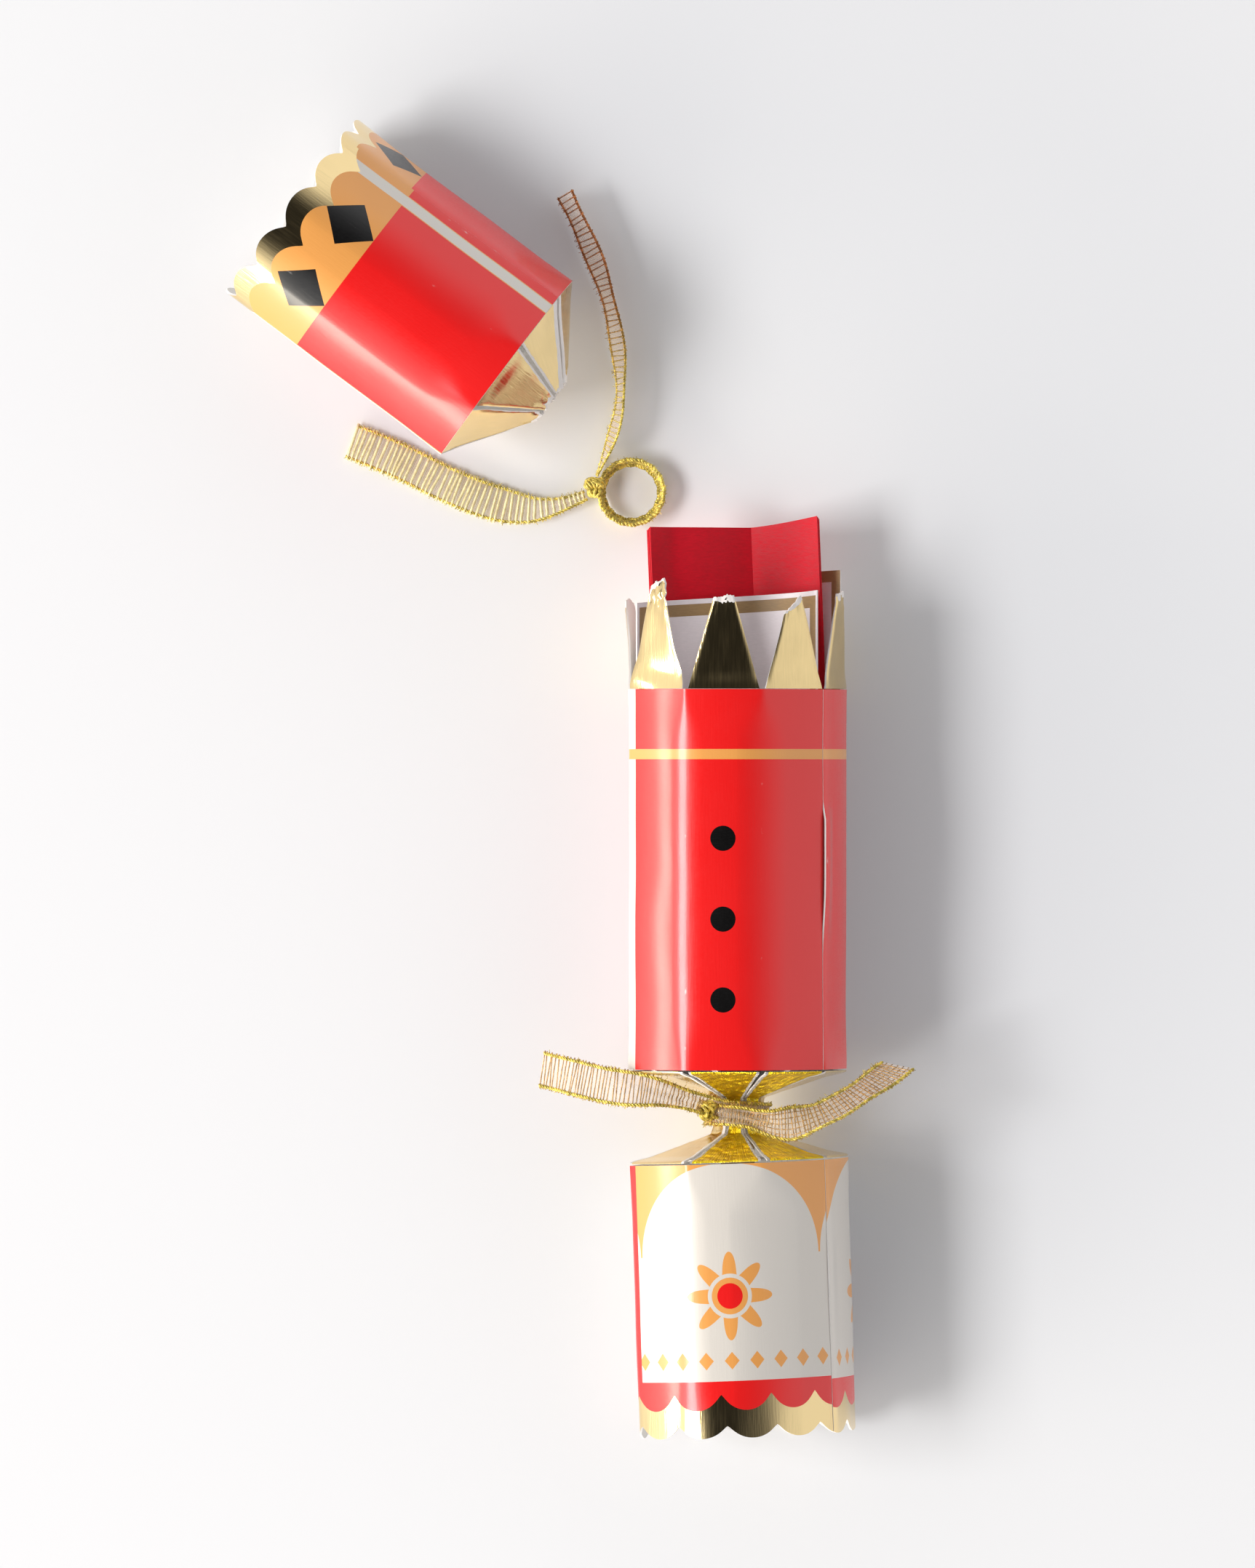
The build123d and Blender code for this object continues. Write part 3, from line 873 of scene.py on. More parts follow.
def tissue_material():
    """Crimson tissue of the hat"""
    contents = bpy.context.scene.cracker_contents
    material, bench, shader = new_material("crimson_tissue")
    place = bench.object_place()
    grain = bench.group("paper_grain", place=place, size=0.8)
    deep = dimmed(contents.tissue, 0.8)
    bench.put(shader.inputs["Base Color"], bench.mix(grain.outputs["Shade"], deep, contents.tissue))
    bench.put(shader.inputs["Roughness"], bench.span(grain.outputs["Shade"], 0.0, 1.0, 0.5, 0.62))
    height = bench.plus(grain.outputs["Height"], bench.times(bench.noise(place, 240.0, 3.0), 2.0))
    bench.put(shader.inputs["Normal"], bench.bump(height, 0.25, 0.00015))
    shader.inputs["Specular IOR Level"].default_value = 0.25
    return material


def motto_material(name, width, length, start, stop):
    """White card with a kraft frame near its edge, between two distances from the edge"""
    contents = bpy.context.scene.cracker_contents
    material, bench, shader = new_material(name)
    across, along = bench.flat_place()
    grain = bench.group("paper_grain", place=bench.object_place(), size=1.0)
    aside = bench.minus(width / 2, bench.apart(across, width / 2))
    down = bench.minus(length / 2, bench.apart(along, length / 2))
    from_edge = bench.math("MINIMUM", aside, down)
    band = near(bench, from_edge, (start + stop) / 2, (stop - start) / 2)
    pale = dimmed(contents.motto_white, 0.93)
    dark = dimmed(contents.kraft, 0.78)
    white = bench.mix(grain.outputs["Shade"], pale, contents.motto_white)
    kraft = bench.mix(grain.outputs["Shade"], dark, contents.kraft)
    bench.put(shader.inputs["Base Color"], bench.mix(band, white, kraft))
    bench.put(shader.inputs["Roughness"], bench.span(grain.outputs["Shade"], 0.0, 1.0, 0.45, 0.6))
    bench.put(shader.inputs["Normal"], bench.bump(grain.outputs["Height"], 0.2, 0.0001))
    return material


def thread_material(name, colour, depth, metal, far_reflection_colour=None):
    """Glittering thread: its colour, how dark its specks are, how metallic it is, and the colour painted on
    its far end as a red reflection in shade
    """
    material, bench, shader = new_material(name)
    place = bench.object_place()
    foil = bench.group("foil_wrinkle", place=place, flat=place, size=4.0)
    speck = bench.span(bench.noise(place, 1100.0, 3.0), 0.4, 0.62)
    tone = bench.times(bench.plus(foil.outputs["Tone"], 0.5), speck)
    deep = dimmed(colour, depth)
    shade = bench.mix(tone, deep, colour)
    # Painted reflection: towards its far end the thread takes a reddish colour that stands in for the red
    # card's light on it, in shade
    if far_reflection_colour is not None:
        parts = bench.tree.nodes.new("ShaderNodeSeparateXYZ")
        bench.put(parts.inputs[0], place)
        far_reflection_deep = dimmed(far_reflection_colour, depth)
        far_reflection_mix = bench.mix(tone, far_reflection_deep, far_reflection_colour)
        shade = bench.mix(bench.span(parts.outputs[1], *far_end_span), shade, far_reflection_mix)
    bench.put(shader.inputs["Base Color"], shade)
    bench.put(shader.inputs["Roughness"], bench.span(bench.noise(place, 1500.0), 0.3, 0.7, 0.2, 0.42))
    bench.put(shader.inputs["Normal"], bench.bump(foil.outputs["Height"], 0.5, 0.0002))
    shader.inputs["Metallic"].default_value = metal
    return material


def gauze_material(name, thin, thick):
    """Pale yarn between the gold threads, see-through to two degrees in turn"""
    material, bench, shader = new_material(name)
    across, along = bench.flat_place()
    yarn = bench.math("ABSOLUTE", bench.math("WRAP", along, 0.2, -0.2))
    bench.put(shader.inputs["Alpha"], bench.span(yarn, 0.05, 0.15, thick, thin))
    grain = bench.group("paper_grain", place=bench.object_place(), size=3.0)
    colour = bench.mix(grain.outputs["Shade"], ink(238, 212, 184), ink(252, 238, 224))
    bench.put(shader.inputs["Base Color"], colour)
    shader.inputs["Roughness"].default_value = 0.6
    return material


def finish(name):
    """A finish by name"""
    return bpy.data.materials[name]


# Pieces

class CRACKER_OT_finishes(bpy.types.Operator):
    """Make the print, foil, paper and ribbon finishes"""

    bl_idname = "cracker.finishes"
    bl_label = "Finishes"

    def execute(self, context):
        paper_grain_group()
        foil_wrinkle_group()
        crease_wear_group()
        scalloped_gold_group()
        print_material("barrel_print", barrel_paint)
        print_material("torn_end_print", torn_end_paint)
        print_material("lower_end_print", lower_end_paint)
        card = context.scene.cracker_card
        paper_material("card_reverse", card.reverse, 0.93, 1.0, (0.6, 0.75), 0.3)
        paper_material("card_core", card.reverse, 0.97, 1.0, (0.6, 0.75), 0.3)
        foil_material("point_foil", card.gold, 0.5, 0.14, 0.0003, 0.0)
        # The neck foil's deeper yellow is painted bounce light from the crumples
        foil_material("neck_foil_with_painted_bounce", card.neck_gold_with_painted_bounce, 2.4, 1.0, 0.001, 0.2)
        tissue_material()
        motto_material("front_card_face", front_card_width, front_card_length, 1.1, 3.8)
        motto_material("back_card_face", back_card_width, back_card_length, -0.5, 2.6)
        paper_material("kraft_card", context.scene.cracker_contents.kraft, 0.7, 0.8, (0.65, 0.85), 0.4)
        threads = context.scene.cracker_ribbon
        thread_material("gold_thread", threads.colour, 0.45, 0.35)
        thread_material("pale_thread", threads.pale, 0.85, 0.1)
        thread_material("weft_thread", threads.weft, 0.6, 0.3)
        # The ladder thread carries the painted red reflection and shade at the tail's far end
        thread_material("ladder_thread", threads.colour, 0.5, 0.35, threads.painted_red_reflection)
        gauze_material("ribbon_gauze", 0.15, 0.42)
        gauze_material("loose_gauze", 0.1, 0.35)
        return {"FINISHED"}


class CRACKER_OT_stage(bpy.types.Operator):
    """Set up the pale floor, the soft light and the camera"""

    bl_idname = "cracker.stage"
    bl_label = "Stage"

    def execute(self, context):
        settings = context.scene.cracker_stage
        context.scene.view_settings.view_transform = "Standard"
        mesh = bpy.data.meshes.new("floor")
        bm = bmesh.new()
        bmesh.ops.create_grid(bm, x_segments=2, y_segments=2, size=3.0)
        bmesh.ops.translate(bm, verts=bm.verts[:], vec=(0, 0, -0.0003))
        bm.to_mesh(mesh)
        bm.free()
        material, bench, shader = new_material("pale_floor")
        cloud = bench.noise(bench.object_place(), 3.0, 2.0)
        dim = dimmed(settings.floor, 0.985)
        bench.put(shader.inputs["Base Color"], bench.mix(cloud, dim, settings.floor))
        shader.inputs["Roughness"].default_value = 0.9
        shader.inputs["Specular IOR Level"].default_value = 0.2
        place_object("floor", mesh, [material])

        # A soft light from the left, and a weaker one under it, down to just above the floor
        panels = (
            ("key", settings.key, (1.0, 1.0, 1.0), (2.45, 1.22), Vector((-3.38, -0.49, 2.95))),
            ("low_key", settings.low_key, (1.0, 0.92, 0.79), (4.4, 0.36), Vector((-2.25, -1.57, 0.55))),
        )
        for name, power, colour, size, spot in panels:
            lamp = bpy.data.lights.new(name, "AREA")
            lamp.shape = "RECTANGLE"
            lamp.size = size[0]
            lamp.size_y = size[1]
            lamp.energy = power
            lamp.color = colour
            lit = bpy.data.objects.new(name, lamp)
            lit.location = spot
            aim = spot - Vector((-0.02, 0.02, 0.02))
            lit.rotation_euler = aim.to_track_quat("Z", "Y").to_euler()
            context.scene.collection.objects.link(lit)

        # A room that is bright round the sides and dim overhead
        world = bpy.data.worlds.new("room")
        context.scene.world = world
        world.use_nodes = True
        bench = Bench(world.node_tree)
        heading = world.node_tree.nodes.new("ShaderNodeTexCoord").outputs["Generated"]
        parts = world.node_tree.nodes.new("ShaderNodeSeparateXYZ")
        bench.put(parts.inputs[0], heading)
        left = bench.span(parts.outputs[0], -0.75, -0.95)
        right = bench.span(parts.outputs[0], 0.5, 0.9)
        sides = bench.mix(left, (0.98, 0.98, 0.99, 1.0), (1.15, 1.13, 1.1, 1.0))
        sides = bench.mix(right, sides, (0.86, 0.86, 0.87, 1.0))
        height = bench.span(parts.outputs[2], 0.4, 1.0)
        colour = bench.mix(height, sides, (0.02, 0.02, 0.021, 1.0))
        bench.put(world.node_tree.nodes["Background"].inputs["Color"], colour)

        view = bpy.data.cameras.new("camera")
        view.lens = settings.lens
        view.sensor_width = 36.0
        view.clip_end = 20.0
        camera = bpy.data.objects.new("camera", view)
        camera.location = (-0.025, 0.0216, 3.62)
        context.scene.collection.objects.link(camera)
        context.scene.camera = camera
        return {"FINISHED"}


def ribbon(name, walk, half, hint, lift, weave, seed):
    """A mesh ribbon along a line: braided edges, threads across, threads along and thin gauze

    The weave gives the braid's size, the gap and thickness of the threads across, the places of the threads
    along and where they start, how far the far end is cut aslant, and the finishes of edges, threads and
    gauze.
    """
    chance = random.Random(seed)
    braid, weft_gap, thread, warps, warp_start, slant_end, edge_finish, thread_finish, gauze_finish = weave

    def spot(distance, across):
        """A point of the ribbon, across from -1 to 1"""
        cut = smooth(1 - (walk.length - distance) / 12.0)
        distance = distance - slant_end * cut * (1 + across) / 2
        middle, side, up = walk.frame(distance, hint(distance))
        wide = half(distance)
        return middle + side * (across * wide) + up * lift(distance, across), side, up

    edges = []
    for sign in (-1, 1):
        for phase in (0.0, math.pi):
            line = []
            steps = int(walk.length / 0.24)
            for step in range(steps + 1):
                distance = walk.length * step / steps
                turn = distance * 2 * math.pi / 1.5 + phase
                point, side, up = spot(distance, sign * 0.92)
                line.append(point + side * (braid * math.cos(turn)) + up * (braid * 0.65 * math.sin(turn)))
            edges.append(line)
    fluff = []
    for sign in (-1, 1):
        for number in range(int(walk.length * 2.4)):
            point, side, up = spot(chance.uniform(0.2, walk.length - 0.2), sign * 0.95)
            away = side * sign * chance.uniform(0.1, 0.8) + up * chance.uniform(-0.2, 0.7)
            away += side.cross(up) * chance.uniform(-0.6, 0.6)
            fluff.append([point, point + away * chance.uniform(0.8, 1.3)])
    wefts = []
    distance = 0.3
    while distance < walk.length - 0.2:
        slant = chance.uniform(-0.25, 0.25)
        line = []
        for across in (-1.08, -0.6, -0.2, 0.2, 0.6, 1.08):
            away = min(max(distance + slant * across, 0.0), walk.length)
            point, side, up = spot(away, across)
            line.append(point + up * chance.uniform(-0.06, 0.06))
        wefts.append(line)
        distance += weft_gap * chance.uniform(0.7, 1.3)
    lengthwise = []
    for across in warps:
        steps = int((walk.length - warp_start) / 0.8)
        line = []
        for step in range(steps + 1):
            point, side, up = spot(warp_start + (walk.length - warp_start) * step / steps, across)
            line.append(point + up * (0.12 if step % 2 else -0.12))
        lengthwise.append(line)
    groups = [(braid, 1, 0, edges), (0.06, 0, 0, fluff), (thread, 0, 1, wefts)]
    if lengthwise:
        groups.append((thread * 0.8, 0, 1, lengthwise))
    made = strands(name, groups, [finish(edge_finish), finish(thread_finish)])

    def gauze_point(a, b):
        point, side, up = spot(b * walk.length, (2 * a - 1) * 0.95)
        return point, (a * 8.7, b * walk.length), 0.0

    rows = max(12, int(walk.length / 0.7))
    gauze = sheet(name + "_gauze", 8, rows, gauze_point, no_turn, 0.05, [finish(gauze_finish)] * 3)
    return made, gauze


def knot(name, place, radius, seed):
    """A small tight knot of gathered ribbon"""
    chance = random.Random(seed)
    lines = []
    for number in range(9):
        turn = Matrix.Rotation(chance.uniform(-0.5, 0.5), 3, "X") @ Matrix.Rotation(number * 0.42, 3, "Y")
        scale = radius * chance.uniform(0.2, 0.27)
        line = []
        for step in range(49):
            t = 2 * math.pi * step / 48
            spot = Vector((
                math.sin(t) + 2 * math.sin(2 * t),
                math.cos(t) - 2 * math.cos(2 * t),
                -1.6 * math.sin(3 * t),
            ))
            line.append(Vector(place) + turn @ spot * scale)
        lines.append(line)
    return strands(name, [(radius * 0.13, 1, 0, lines)], [finish("gold_thread")])


class CRACKER_OT_tied_ribbon(bpy.types.Operator):
    """Tie the ribbon round the lower neck"""

    bl_idname = "cracker.tied_ribbon"
    bl_label = "Tied ribbon"

    def execute(self, context):
        line = route_line(tied_route)
        walk = Walk(line)
        wide = context.scene.cracker_ribbon.width / MM / 2 - 0.3
        knot_start = 38.0
        knot_stop = walk.length - 41.0

        def half(distance):
            left = smooth((knot_start - distance) / 17.0)
            right = smooth((distance - knot_stop) / 12.0)
            return 2.2 + (wide - 2.2) * max(left, right)

        def hint(distance):
            roll = smooth((distance - knot_stop - 6.0) / 14.0)
            return Vector((0.0, 1.0 - 0.36 * roll, -0.74 * roll))

        def lift(distance, across):
            gather = (wide - half(distance)) / wide
            ripple = math.sin(across * 7.0 + distance * 0.35) * 0.8
            return gather * ripple + 0.25 * math.sin(distance * 0.45) * across

        thread = context.scene.cracker_ribbon.thread / MM
        warps = (-0.65, -0.33, 0.0, 0.33, 0.65)
        weave = (
            0.23, 0.88, thread * 1.25, warps, knot_stop, 3.2,
            "gold_thread", "weft_thread", "ribbon_gauze",
        )
        made, gauze = ribbon("tied_ribbon", walk, half, hint, lift, weave, 5)
        tie = knot("tied_knot", tied_knot_place, 3.0, 11)
        for piece in (made, gauze, tie):
            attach(piece, "barrel")
        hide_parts("tied_ribbon_wrap", "tied_ribbon_tail_left", "tied_ribbon_tail_right")
        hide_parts("tied_ribbon_knot")
        return {"FINISHED"}


class CRACKER_OT_loose_ribbon(bpy.types.Operator):
    """Lay out the ribbon that slipped off the torn neck"""

    bl_idname = "cracker.loose_ribbon"
    bl_label = "Loose ribbon"

    def execute(self, context):
        wide = context.scene.cracker_ribbon.width / MM / 2 - 0.3
        left_line = route_line(loose_left_route)
        right_line = route_line(loose_right_route)
        left_walk = Walk(left_line)
        right_walk = Walk(right_line)

        def left_half(distance):
            return 1.1 + (wide - 1.1) * smooth((left_walk.length - distance) / 22.0)

        def left_hint(distance):
            return Vector((0.25, 1.0, 0.0))

        def left_lift(distance, across):
            gather = (wide - left_half(distance)) / wide
            return gather * (0.5 + 0.5 * math.sin(across * 6.0)) + 0.12 * (1 + math.sin(distance * 0.3))

        def right_half(distance):
            return 1.7 + (wide - 1.7) * smooth((right_walk.length - distance + 5.0) / 18.0)

        def right_hint(distance):
            lean = math.radians(62.0 + 14.0 * smooth(distance / right_walk.length))
            return Vector((math.cos(lean), 0.25 * math.cos(lean), math.sin(lean)))

        def right_lift(distance, across):
            return 0.3 * math.sin(distance * 0.3) * across

        thread = context.scene.cracker_ribbon.thread / MM
        bars = (0.2, 1.25, thread * 3.0, (), 0.0, 0.0, "gold_thread", "pale_thread", "loose_gauze")
        # The ladder tail's threads turn to the painted red reflection near their far end
        ladder = (0.2, 1.45, thread * 1.3, (), 0.0, 0.0, "ladder_thread", "ladder_thread", "ribbon_gauze")
        braided = (
            0.32, 0.5, thread * 1.3, (-0.5, -0.25, 0.0, 0.25, 0.5), 0.0, 0.0,
            "gold_thread", "gold_thread", "ribbon_gauze",
        )
        left, left_gauze = ribbon("loose_tail_left", left_walk, left_half, left_hint, left_lift, bars, 21)
        right, right_gauze = ribbon(
            "loose_tail_right", right_walk, right_half, right_hint, right_lift, ladder, 22,
        )
        centre = Vector(loose_loop_place)
        ring = []
        for step in range(97):
            turn = 2 * math.pi * step / 96 + math.pi
            ring.append(centre + Vector((ring_radius * math.cos(turn), ring_radius * math.sin(turn), 2.2)))
        ring_walk = Walk(ring)

        def ring_half(distance):
            return 1.6

        def ring_hint(distance):
            turn = 2 * math.pi * distance / ring_walk.length + math.pi
            return Vector((0.42 * math.cos(turn), 0.42 * math.sin(turn), 1.0))

        def ring_lift(distance, across):
            return 0.1 * math.sin(distance * 2.3 + across)

        loop, loop_gauze = ribbon("loose_loop", ring_walk, ring_half, ring_hint, ring_lift, braided, 23)
        tie = knot("loose_knot", loose_knot_place, 2.9, 24)
        for piece in (left, left_gauze, right, right_gauze, loop, loop_gauze, tie):
            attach(piece, "loose_ribbon")
        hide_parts("loose_ribbon_tail_left")
        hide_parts("loose_ribbon_tail_right")
        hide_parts("loose_ribbon_loop")
        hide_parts("loose_ribbon_knot")
        return {"FINISHED"}


def sleeve(name, length, edge, side, turn, folds, scalloped, lap, slit, print_name):
    """A printed tube with a lap seam, from its edge at a station along the axis"""
    card = bpy.context.scene.cracker_card
    columns = 288
    rows = 44
    seam = 3 * panel

    def point(a, b):
        step = round(a * (columns + 1)) - 1
        round_place = seam + max(step, 0) * around_tube / columns
        if step < 0:
            round_place -= lap
        along = b * length
        if scalloped and along > length - 8.0:
            stop = length - scallop(round_place, scallop_depth * 1.25)
            along = length - 8.0 + (along - length + 8.0) * (stop - length + 8.0) / 8.0
        past_seam = round_place - seam
        before_seam = around_tube - past_seam
        open_lap = 0.0
        if slit:
            open_lap = smooth((along - slit[0]) / 5.0) * smooth((slit[1] - along) / 16.0) * slit[2]
        lift = (lap * 0.24 + open_lap) * smooth(1 - past_seam / 5.0)
        lift -= 0.08 * open_lap * smooth(1 - before_seam / 3.0)
        soft = 0.1 + 0.9 * smooth(along / 12.0)
        if not scalloped:
            soft = min(soft, 0.5 + 0.5 * smooth((length - along) / 12.0))
        spot = skin(round_place, 0.0, folds, soft)
        inner = smooth(along / 4.0)
        lift += card.dents / MM * inner * wobble(spot.x, along + edge, spot.y, 16.0)
        if scalloped:
            lift += 0.5 * smooth((along - length + 14.0) / 14.0) * wobble(spot.x + 40, edge, spot.y, 9.0)
        spot = skin(round_place, lift, folds, soft)
        spot.y = max(spot.y, 0.0)
        flat_place = (round_place, along)
        if scalloped:
            drift = past_seam / around_tube
            flat_place = (round_place + 0.9 * drift, along + 0.7 * (drift - 0.5))
        return (spot.x, edge + side * along, spot.y), flat_place, untorn

    finishes = [finish(print_name), finish("card_reverse"), finish("card_core")]
    return sheet(name, columns + 1, rows, point, turn, card.thickness / MM, finishes, flip=side < 0)


class CRACKER_OT_barrel(bpy.types.Operator):
    """Roll the printed barrel"""

    bl_idname = "cracker.barrel"
    bl_label = "Barrel"

    def execute(self, context):
        made = sleeve(
            "barrel", barrel_length, mouth, -1, no_turn, barrel_folds, False, 0.5, (25.0, 61.5, 0.8),
            "barrel_print",
        )
        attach(made, "barrel")
        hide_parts("barrel_sleeve")
        return {"FINISHED"}


class CRACKER_OT_ends(bpy.types.Operator):
    """Roll the lower end and the torn-off end"""

    bl_idname = "cracker.ends"
    bl_label = "Ends"

    def execute(self, context):
        lower = sleeve(
            "lower_end", end_length - 0.6, lower_neck, -1, lower_turn, lower_folds, True, 0.5,
            (16.0, 44.0, 0.3), "lower_end_print",
        )
        torn = sleeve(
            "torn_end", end_length - 1.2, 0.0, 1, torn_turn, torn_folds, True, 0.02, None, "torn_end_print",
        )
        for made, body in ((lower, "lower_end"), (torn, "torn_end")):
            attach(made, body)
            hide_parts(body + "_sleeve")
        return {"FINISHED"}


def torn_point(name, index, jags, lean, fold, curl, tip, bare, folds, edge, side, turn):
    """A gold point with a ragged torn tip, folded in at its score line"""
    card = bpy.context.scene.cracker_card
    length = math.hypot(apothem(index) * (1 - tip_scale), cone_depth)
    first, along, outward = panel_frame(index)
    turned = math.radians(fold)
    crumple = 1.3 if index == 0 and side > 0 else 0.2
    twist = 1.0 if index == 0 and side > 0 else 0.0

    def point(a, b):
        if a < 0.5:
            jag = jags[0] + (jags[1] - jags[0]) * a * 2
        else:
            jag = jags[1] + (jags[2] - jags[1]) * (a * 2 - 1)
        jag += 0.6 * wobble(a * 5.0, index * 3.7, edge, 1.0)
        jag += 0.35 * wobble(a * 13.0, index * 3.7, edge + 5, 1.0)
        reach = length + jag
        out = 0.12 + b * (reach - 0.12)
        half = (panel / 2 - 0.75) * (1 - b) + tip * b
        across = panel / 2 + lean * b + (2 * a - 1) * half
        depth = curl * b ** 3 + 0.25 * b * wobble(across, out, index * 9.0 + edge, 7.0)
        depth += 0.3 * smooth(b * 6) * abs(2 * a - 1) ** 12
        turned_up = 0.1 * smooth((b - 0.14) / 0.3) - 0.06 * smooth(b / 0.06) * smooth((0.34 - b) / 0.2)
        depth += twist * (1 - 2 * a) * half * turned_up
        depth += crumple * smooth((b - 0.76) / 0.1) * wobble(a * 4.0, b * 14.0, index * 5.0, 1.0)
        axial = out * math.cos(turned) - depth * math.sin(turned)
        inner = out * math.sin(turned) + depth * math.cos(turned)
        seat = skin_point(index * panel + across, folds, 0.1)
        spot = seat.lerp(first + along * across, smooth(out / 5.0)) - outward * inner
        spot.y = max(spot.y, 0.0)
        left_edge = 0.85 + (a * 2 * half - bare[0]) * 6
        right_edge = 0.85 + ((1 - a) * 2 * half - bare[1]) * 6
        torn = min((1 - b) * reach, left_edge, right_edge)
        return (spot.x, edge + side * axial, spot.y), (index * panel + across, out), torn

    finishes = [finish("point_foil"), finish("card_reverse"), finish("card_core")]
    return sheet(name, 26, 24, point, turn, card.thickness / MM, finishes, flip=side < 0)


class CRACKER_OT_points(bpy.types.Operator):
    """Cut the torn points of the crown and of the torn-off end"""

    bl_idname = "cracker.points"
    bl_label = "Torn points"

    def execute(self, context):
        curls = (0.6, -0.4, 0.8, 0.3, 0.1, 0.2, 0.4, 0.0)
        bare_edges = (
            (0.0, 0.1), (0.0, 0.4), (0.5, 1.9), (1.5, 0.0), (0.3, 0.6), (0.4, 0.3), (0.6, 0.2), (0.3, 0.4),
        )
        for index in range(8):
            number = index + 1
            crown = torn_point(
                "crown_%d_foil" % number, index, crown_jags[index], 0.0, crown_bends[index], curls[index],
                2.3, (-1.0, -1.0), barrel_folds, mouth, 1, no_turn,
            )
            first, along, outward = panel_frame(index)
            lean = ((axis - first).dot(along) - panel / 2) * (1 - tip_scale)
            fold = math.degrees(math.atan2(apothem(index) * (1 - tip_scale), cone_depth))
            torn = torn_point(
                "torn_%d_foil" % number, index, torn_jags[index], lean, fold, 0.3, 1.75, bare_edges[index],
                torn_folds, 0.0, -1, torn_turn,
            )
            for made, kind in ((crown, "crown"), (torn, "torn")):
                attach(made, "%s_%d" % (kind, number))
                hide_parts("%s_point_%d" % (kind, number))
        return {"FINISHED"}


def neck_strip(name, index, edge, side, turn, folds):
    """One gold strip from a sleeve's edge in to the tied waist"""
    rough = (0.35, 1.6, 0.4, 0.3, 0.6, 0.8, 0.8, 0.6)[index]
    bare = ((0.0, 0.8), (0.6, 0.6), (0.8, 0.0), (0.0, 0.0))[index] if index < 4 else (0.3, 0.3)
    card = bpy.context.scene.cracker_card
    stop = waist - side * waist_gap / 2
    run = abs(waist - side * throat_half - edge)
    rest = abs(stop - edge) - run
    first, along, outward = panel_frame(index)

    def point(a, b):
        t = b / 0.85
        drawn = 0.5 * (t + 1 - math.sqrt((t - 1) ** 2 + 0.012))
        drawn = max(drawn, 0.0)
        settled = smooth(t / 0.12) * drawn
        scale = 1 - (1 - throat_scale) * settled
        station = edge + side * (0.35 + (run - 0.35) * drawn + rest * max(0.0, b - 0.85) / 0.15)
        left = axis + (first - axis) * scale
        right = axis + (corners[(index + 1) % 8] - axis) * scale
        inset = (0.2 + 0.55 * (1 - min(t, 1.0))) / (right - left).length
        share = inset + (1 - 2 * inset) * a
        flat = left.lerp(right, share)
        seat = skin_point((index + share) * panel, folds, 0.5 if side < 0 else 0.1)
        flat = seat.lerp(flat, smooth(b * 5))
        crumple = 0.7 * wobble(flat.x, station, flat.y, 1.3)
        crumple += 0.7 * wobble(flat.x, station, flat.y + 30, 3.2)
        crumple = smooth(b * 1.6) * crumple * rough - 0.35 * smooth(b)
        spot = flat + outward * crumple * (1 - 0.6 * b)
        spot.y = max(spot.y, 0.0)
        wide = (right - left).length
        left_edge = 0.85 + (a * wide - bare[0]) * 6
        right_edge = 0.85 + ((1 - a) * wide - bare[1]) * 6
        torn = min(untorn, left_edge, right_edge)
        return (spot.x, station, spot.y), (index * panel + share * panel, b * 22.0), torn

    # Strips 2, 3 and 6 take the foil with the painted bounce light; the others take the points' foil
    foil = "neck_foil_with_painted_bounce" if index in (1, 2, 5) else "point_foil"
    finishes = [finish(foil), finish("card_reverse"), finish("card_core")]
    return sheet(name, 24, 48, point, turn, card.thickness / MM * 0.8, finishes, flip=side < 0)


class CRACKER_OT_necks(bpy.types.Operator):
    """Draw in the gold strips of the tied neck"""

    bl_idname = "cracker.necks"
    bl_label = "Neck strips"

    def execute(self, context):
        for index in range(8):
            number = index + 1
            upper = neck_strip("barrel_neck_%d" % number, index, barrel_foot, -1, no_turn, barrel_folds)
            lower = neck_strip("lower_neck_%d" % number, index, lower_neck, 1, lower_turn, lower_folds)
            for made, body in ((upper, "barrel"), (lower, "lower_end")):
                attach(made, body)
                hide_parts(body + "_neck_panels")
        return {"FINISHED"}


def over_mouth(height):
    """Height over the mouth, eased to nothing below it"""
    if height > lean_ease:
        return height
    return max(height + lean_ease, 0.0) ** 2 / (4 * lean_ease)


def bent_sheet(name, arc, offset, thickness, start, length, tilt, lean, crease, materials):
    """A sheet bent to an arc that stands in the barrel, and that leans aside over the mouth"""
    centre_x, centre_z, radius, angle_left, angle_right = arc
    radius = radius + offset
    width = radius * (angle_right - angle_left)

    def point(a, b):
        angle = angle_left + (angle_right - angle_left) * a
        x = centre_x + radius * math.sin(angle)
        z = centre_z - radius * math.cos(angle)
        y = start + b * length + tilt * (a - 0.5)
        away = crease(a, b, x)
        z += away[0]
        y += away[1]
        x += lean * over_mouth(y - mouth)
        return (x, y, z), (a * width, b * length), untorn

    return sheet(name, 48, 40, point, no_turn, thickness, materials)


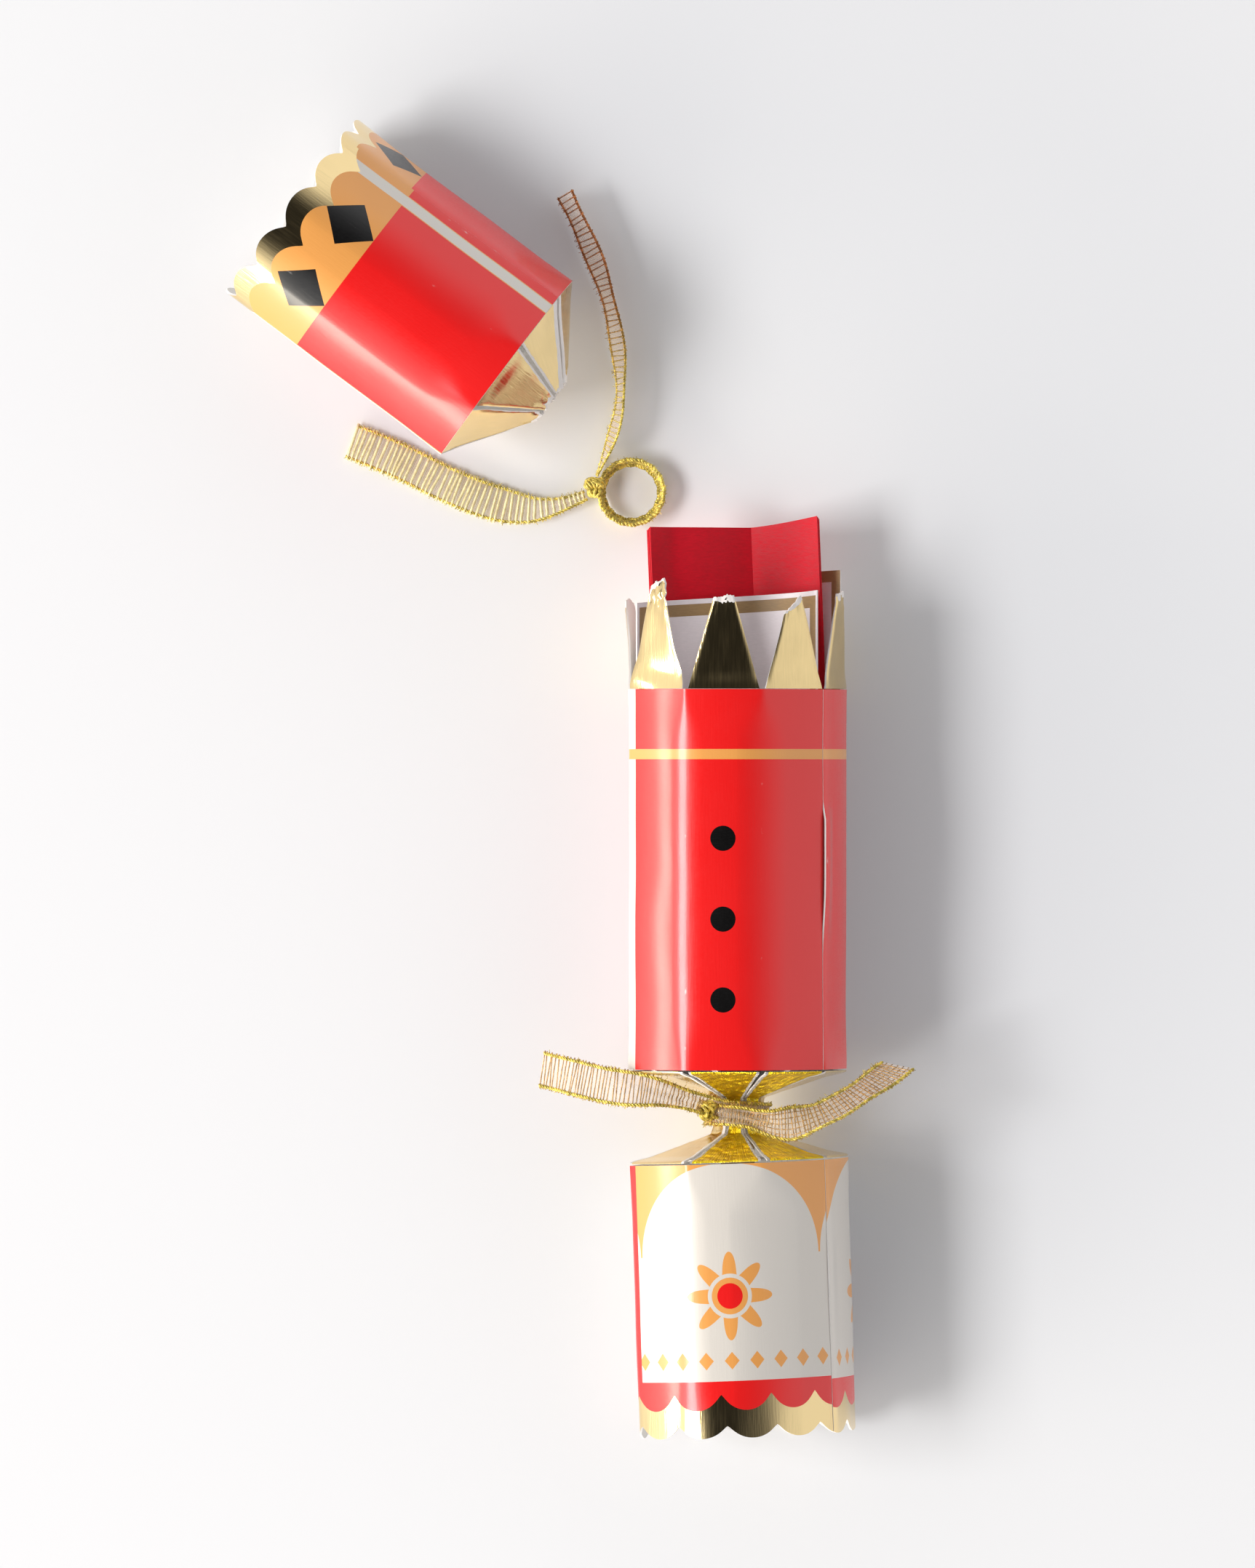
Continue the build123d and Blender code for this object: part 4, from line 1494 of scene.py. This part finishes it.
class CRACKER_OT_contents(bpy.types.Operator):
    """Put the paper hat and the motto cards into the barrel"""

    bl_idname = "cracker.contents"
    bl_label = "Hat and cards"

    def execute(self, context):
        def flat(a, b, x):
            return 0.15 * wobble(a * 3, b * 4, 1.0, 1.0), 0.0

        front = bent_sheet(
            "front_card", front_card_arc, -0.2, 0.3, mouth + front_card_reach - front_card_length,
            front_card_length, 2.9, 0.0, flat,
            [finish("front_card_face"), finish("card_reverse"), finish("card_core")],
        )
        back = bent_sheet(
            "back_card", back_card_arc, -0.2, 0.3, mouth + back_card_reach - back_card_length,
            back_card_length, 2.4, 0.0, flat,
            [finish("back_card_face"), finish("card_reverse"), finish("card_core")],
        )
        centre = hat_arc[0]
        radius = hat_arc[2]

        def arc_height(x):
            """How high the hat's arc stands over its lowest line"""
            return radius - math.sqrt(radius ** 2 - (x - centre) ** 2)

        layers = []
        for layer in range(4):
            def fold(a, b, x, layer=layer):
                above = b * hat_length + hat_reach - hat_length
                past = x - hat_crease
                if past < 0:
                    # The left side rises from the crease, and follows the back card where that is higher
                    steep = 6.0 + smooth((above + 5.0) / 15.0) + 1.3 * smooth((above - 20.0) / 9.0)
                    wanted = steep * math.sin(math.pi / 2 * min(1.0, -past / 24.0))
                    floor = arc_height(x + hat_lean * over_mouth(above)) + 0.1
                    wanted = -soft_least(-wanted, -floor, 1.5)
                else:
                    wanted = (0.28 + 0.2 * smooth((above - 4.0) / 16.0)) * past
                away = wanted - arc_height(x) + 0.15 * wobble(a * 4, b * 5, layer * 0.1, 1.0)
                rise = 2.6 * max(0.0, past / 15.5) ** 1.3 * smooth(b * 2 - 1)
                return away, rise - layer * 0.25
            layers.append(bent_sheet(
                "hat_layer_%d" % (layer + 1), hat_arc, -0.5 + layer * 0.3, 0.16,
                mouth + hat_reach - hat_length, hat_length, 0.0, hat_lean, fold,
                [finish("crimson_tissue")] * 3,
            ))
        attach(front, "front_card")
        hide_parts("motto_card_front")
        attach(back, "back_card")
        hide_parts("motto_card_back")
        for layer in layers:
            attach(layer, "hat")
            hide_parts("paper_hat")
        return {"FINISHED"}


class CRACKER_OT_plain_card(bpy.types.Operator):
    """Finish the glue tabs and the snap strips"""

    bl_idname = "cracker.plain_card"
    bl_label = "Glue tabs and snap strips"

    def execute(self, context):
        finishes = {
            "barrel_glue_tab": "card_reverse",
            "lower_end_glue_tab": "card_reverse",
            "torn_end_glue_tab": "card_reverse",
            "snap_strip_barrel": "kraft_card",
            "snap_strip_torn": "kraft_card",
        }
        for node, name in finishes.items():
            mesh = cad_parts[node].data
            mesh.materials.clear()
            mesh.materials.append(finish(name))
        return {"FINISHED"}


class CRACKER_PT_panel(bpy.types.Panel):
    """Cracker pieces"""

    bl_idname = "CRACKER_PT_panel"
    bl_label = "Christmas cracker"
    bl_space_type = "VIEW_3D"
    bl_region_type = "UI"
    bl_category = "Cracker"

    def draw(self, context):
        for operator in piece_operators:
            self.layout.operator(operator.bl_idname)


setting_groups = (CardSettings, ContentsSettings, RibbonSettings, StageSettings)
piece_operators = (
    CRACKER_OT_finishes,
    CRACKER_OT_stage,
    CRACKER_OT_tied_ribbon,
    CRACKER_OT_loose_ribbon,
    CRACKER_OT_barrel,
    CRACKER_OT_ends,
    CRACKER_OT_points,
    CRACKER_OT_necks,
    CRACKER_OT_contents,
    CRACKER_OT_plain_card,
)


def register():
    """Adds the classes and the settings"""
    for group in setting_groups + piece_operators + (CRACKER_PT_panel,):
        bpy.utils.register_class(group)
    bpy.types.Scene.cracker_card = PointerProperty(type=CardSettings)
    bpy.types.Scene.cracker_contents = PointerProperty(type=ContentsSettings)
    bpy.types.Scene.cracker_ribbon = PointerProperty(type=RibbonSettings)
    bpy.types.Scene.cracker_stage = PointerProperty(type=StageSettings)


def unregister():
    """Takes the settings and the classes away"""
    del bpy.types.Scene.cracker_stage
    del bpy.types.Scene.cracker_ribbon
    del bpy.types.Scene.cracker_contents
    del bpy.types.Scene.cracker_card
    for group in reversed(setting_groups + piece_operators + (CRACKER_PT_panel,)):
        bpy.utils.unregister_class(group)


def main():
    """Makes every piece in order"""
    register()
    bpy.ops.cracker.finishes()
    bpy.ops.cracker.stage()
    bpy.ops.cracker.tied_ribbon()
    bpy.ops.cracker.loose_ribbon()
    bpy.ops.cracker.barrel()
    bpy.ops.cracker.ends()
    bpy.ops.cracker.points()
    bpy.ops.cracker.necks()
    bpy.ops.cracker.contents()
    bpy.ops.cracker.plain_card()


if __name__ == "__main__":
    main()
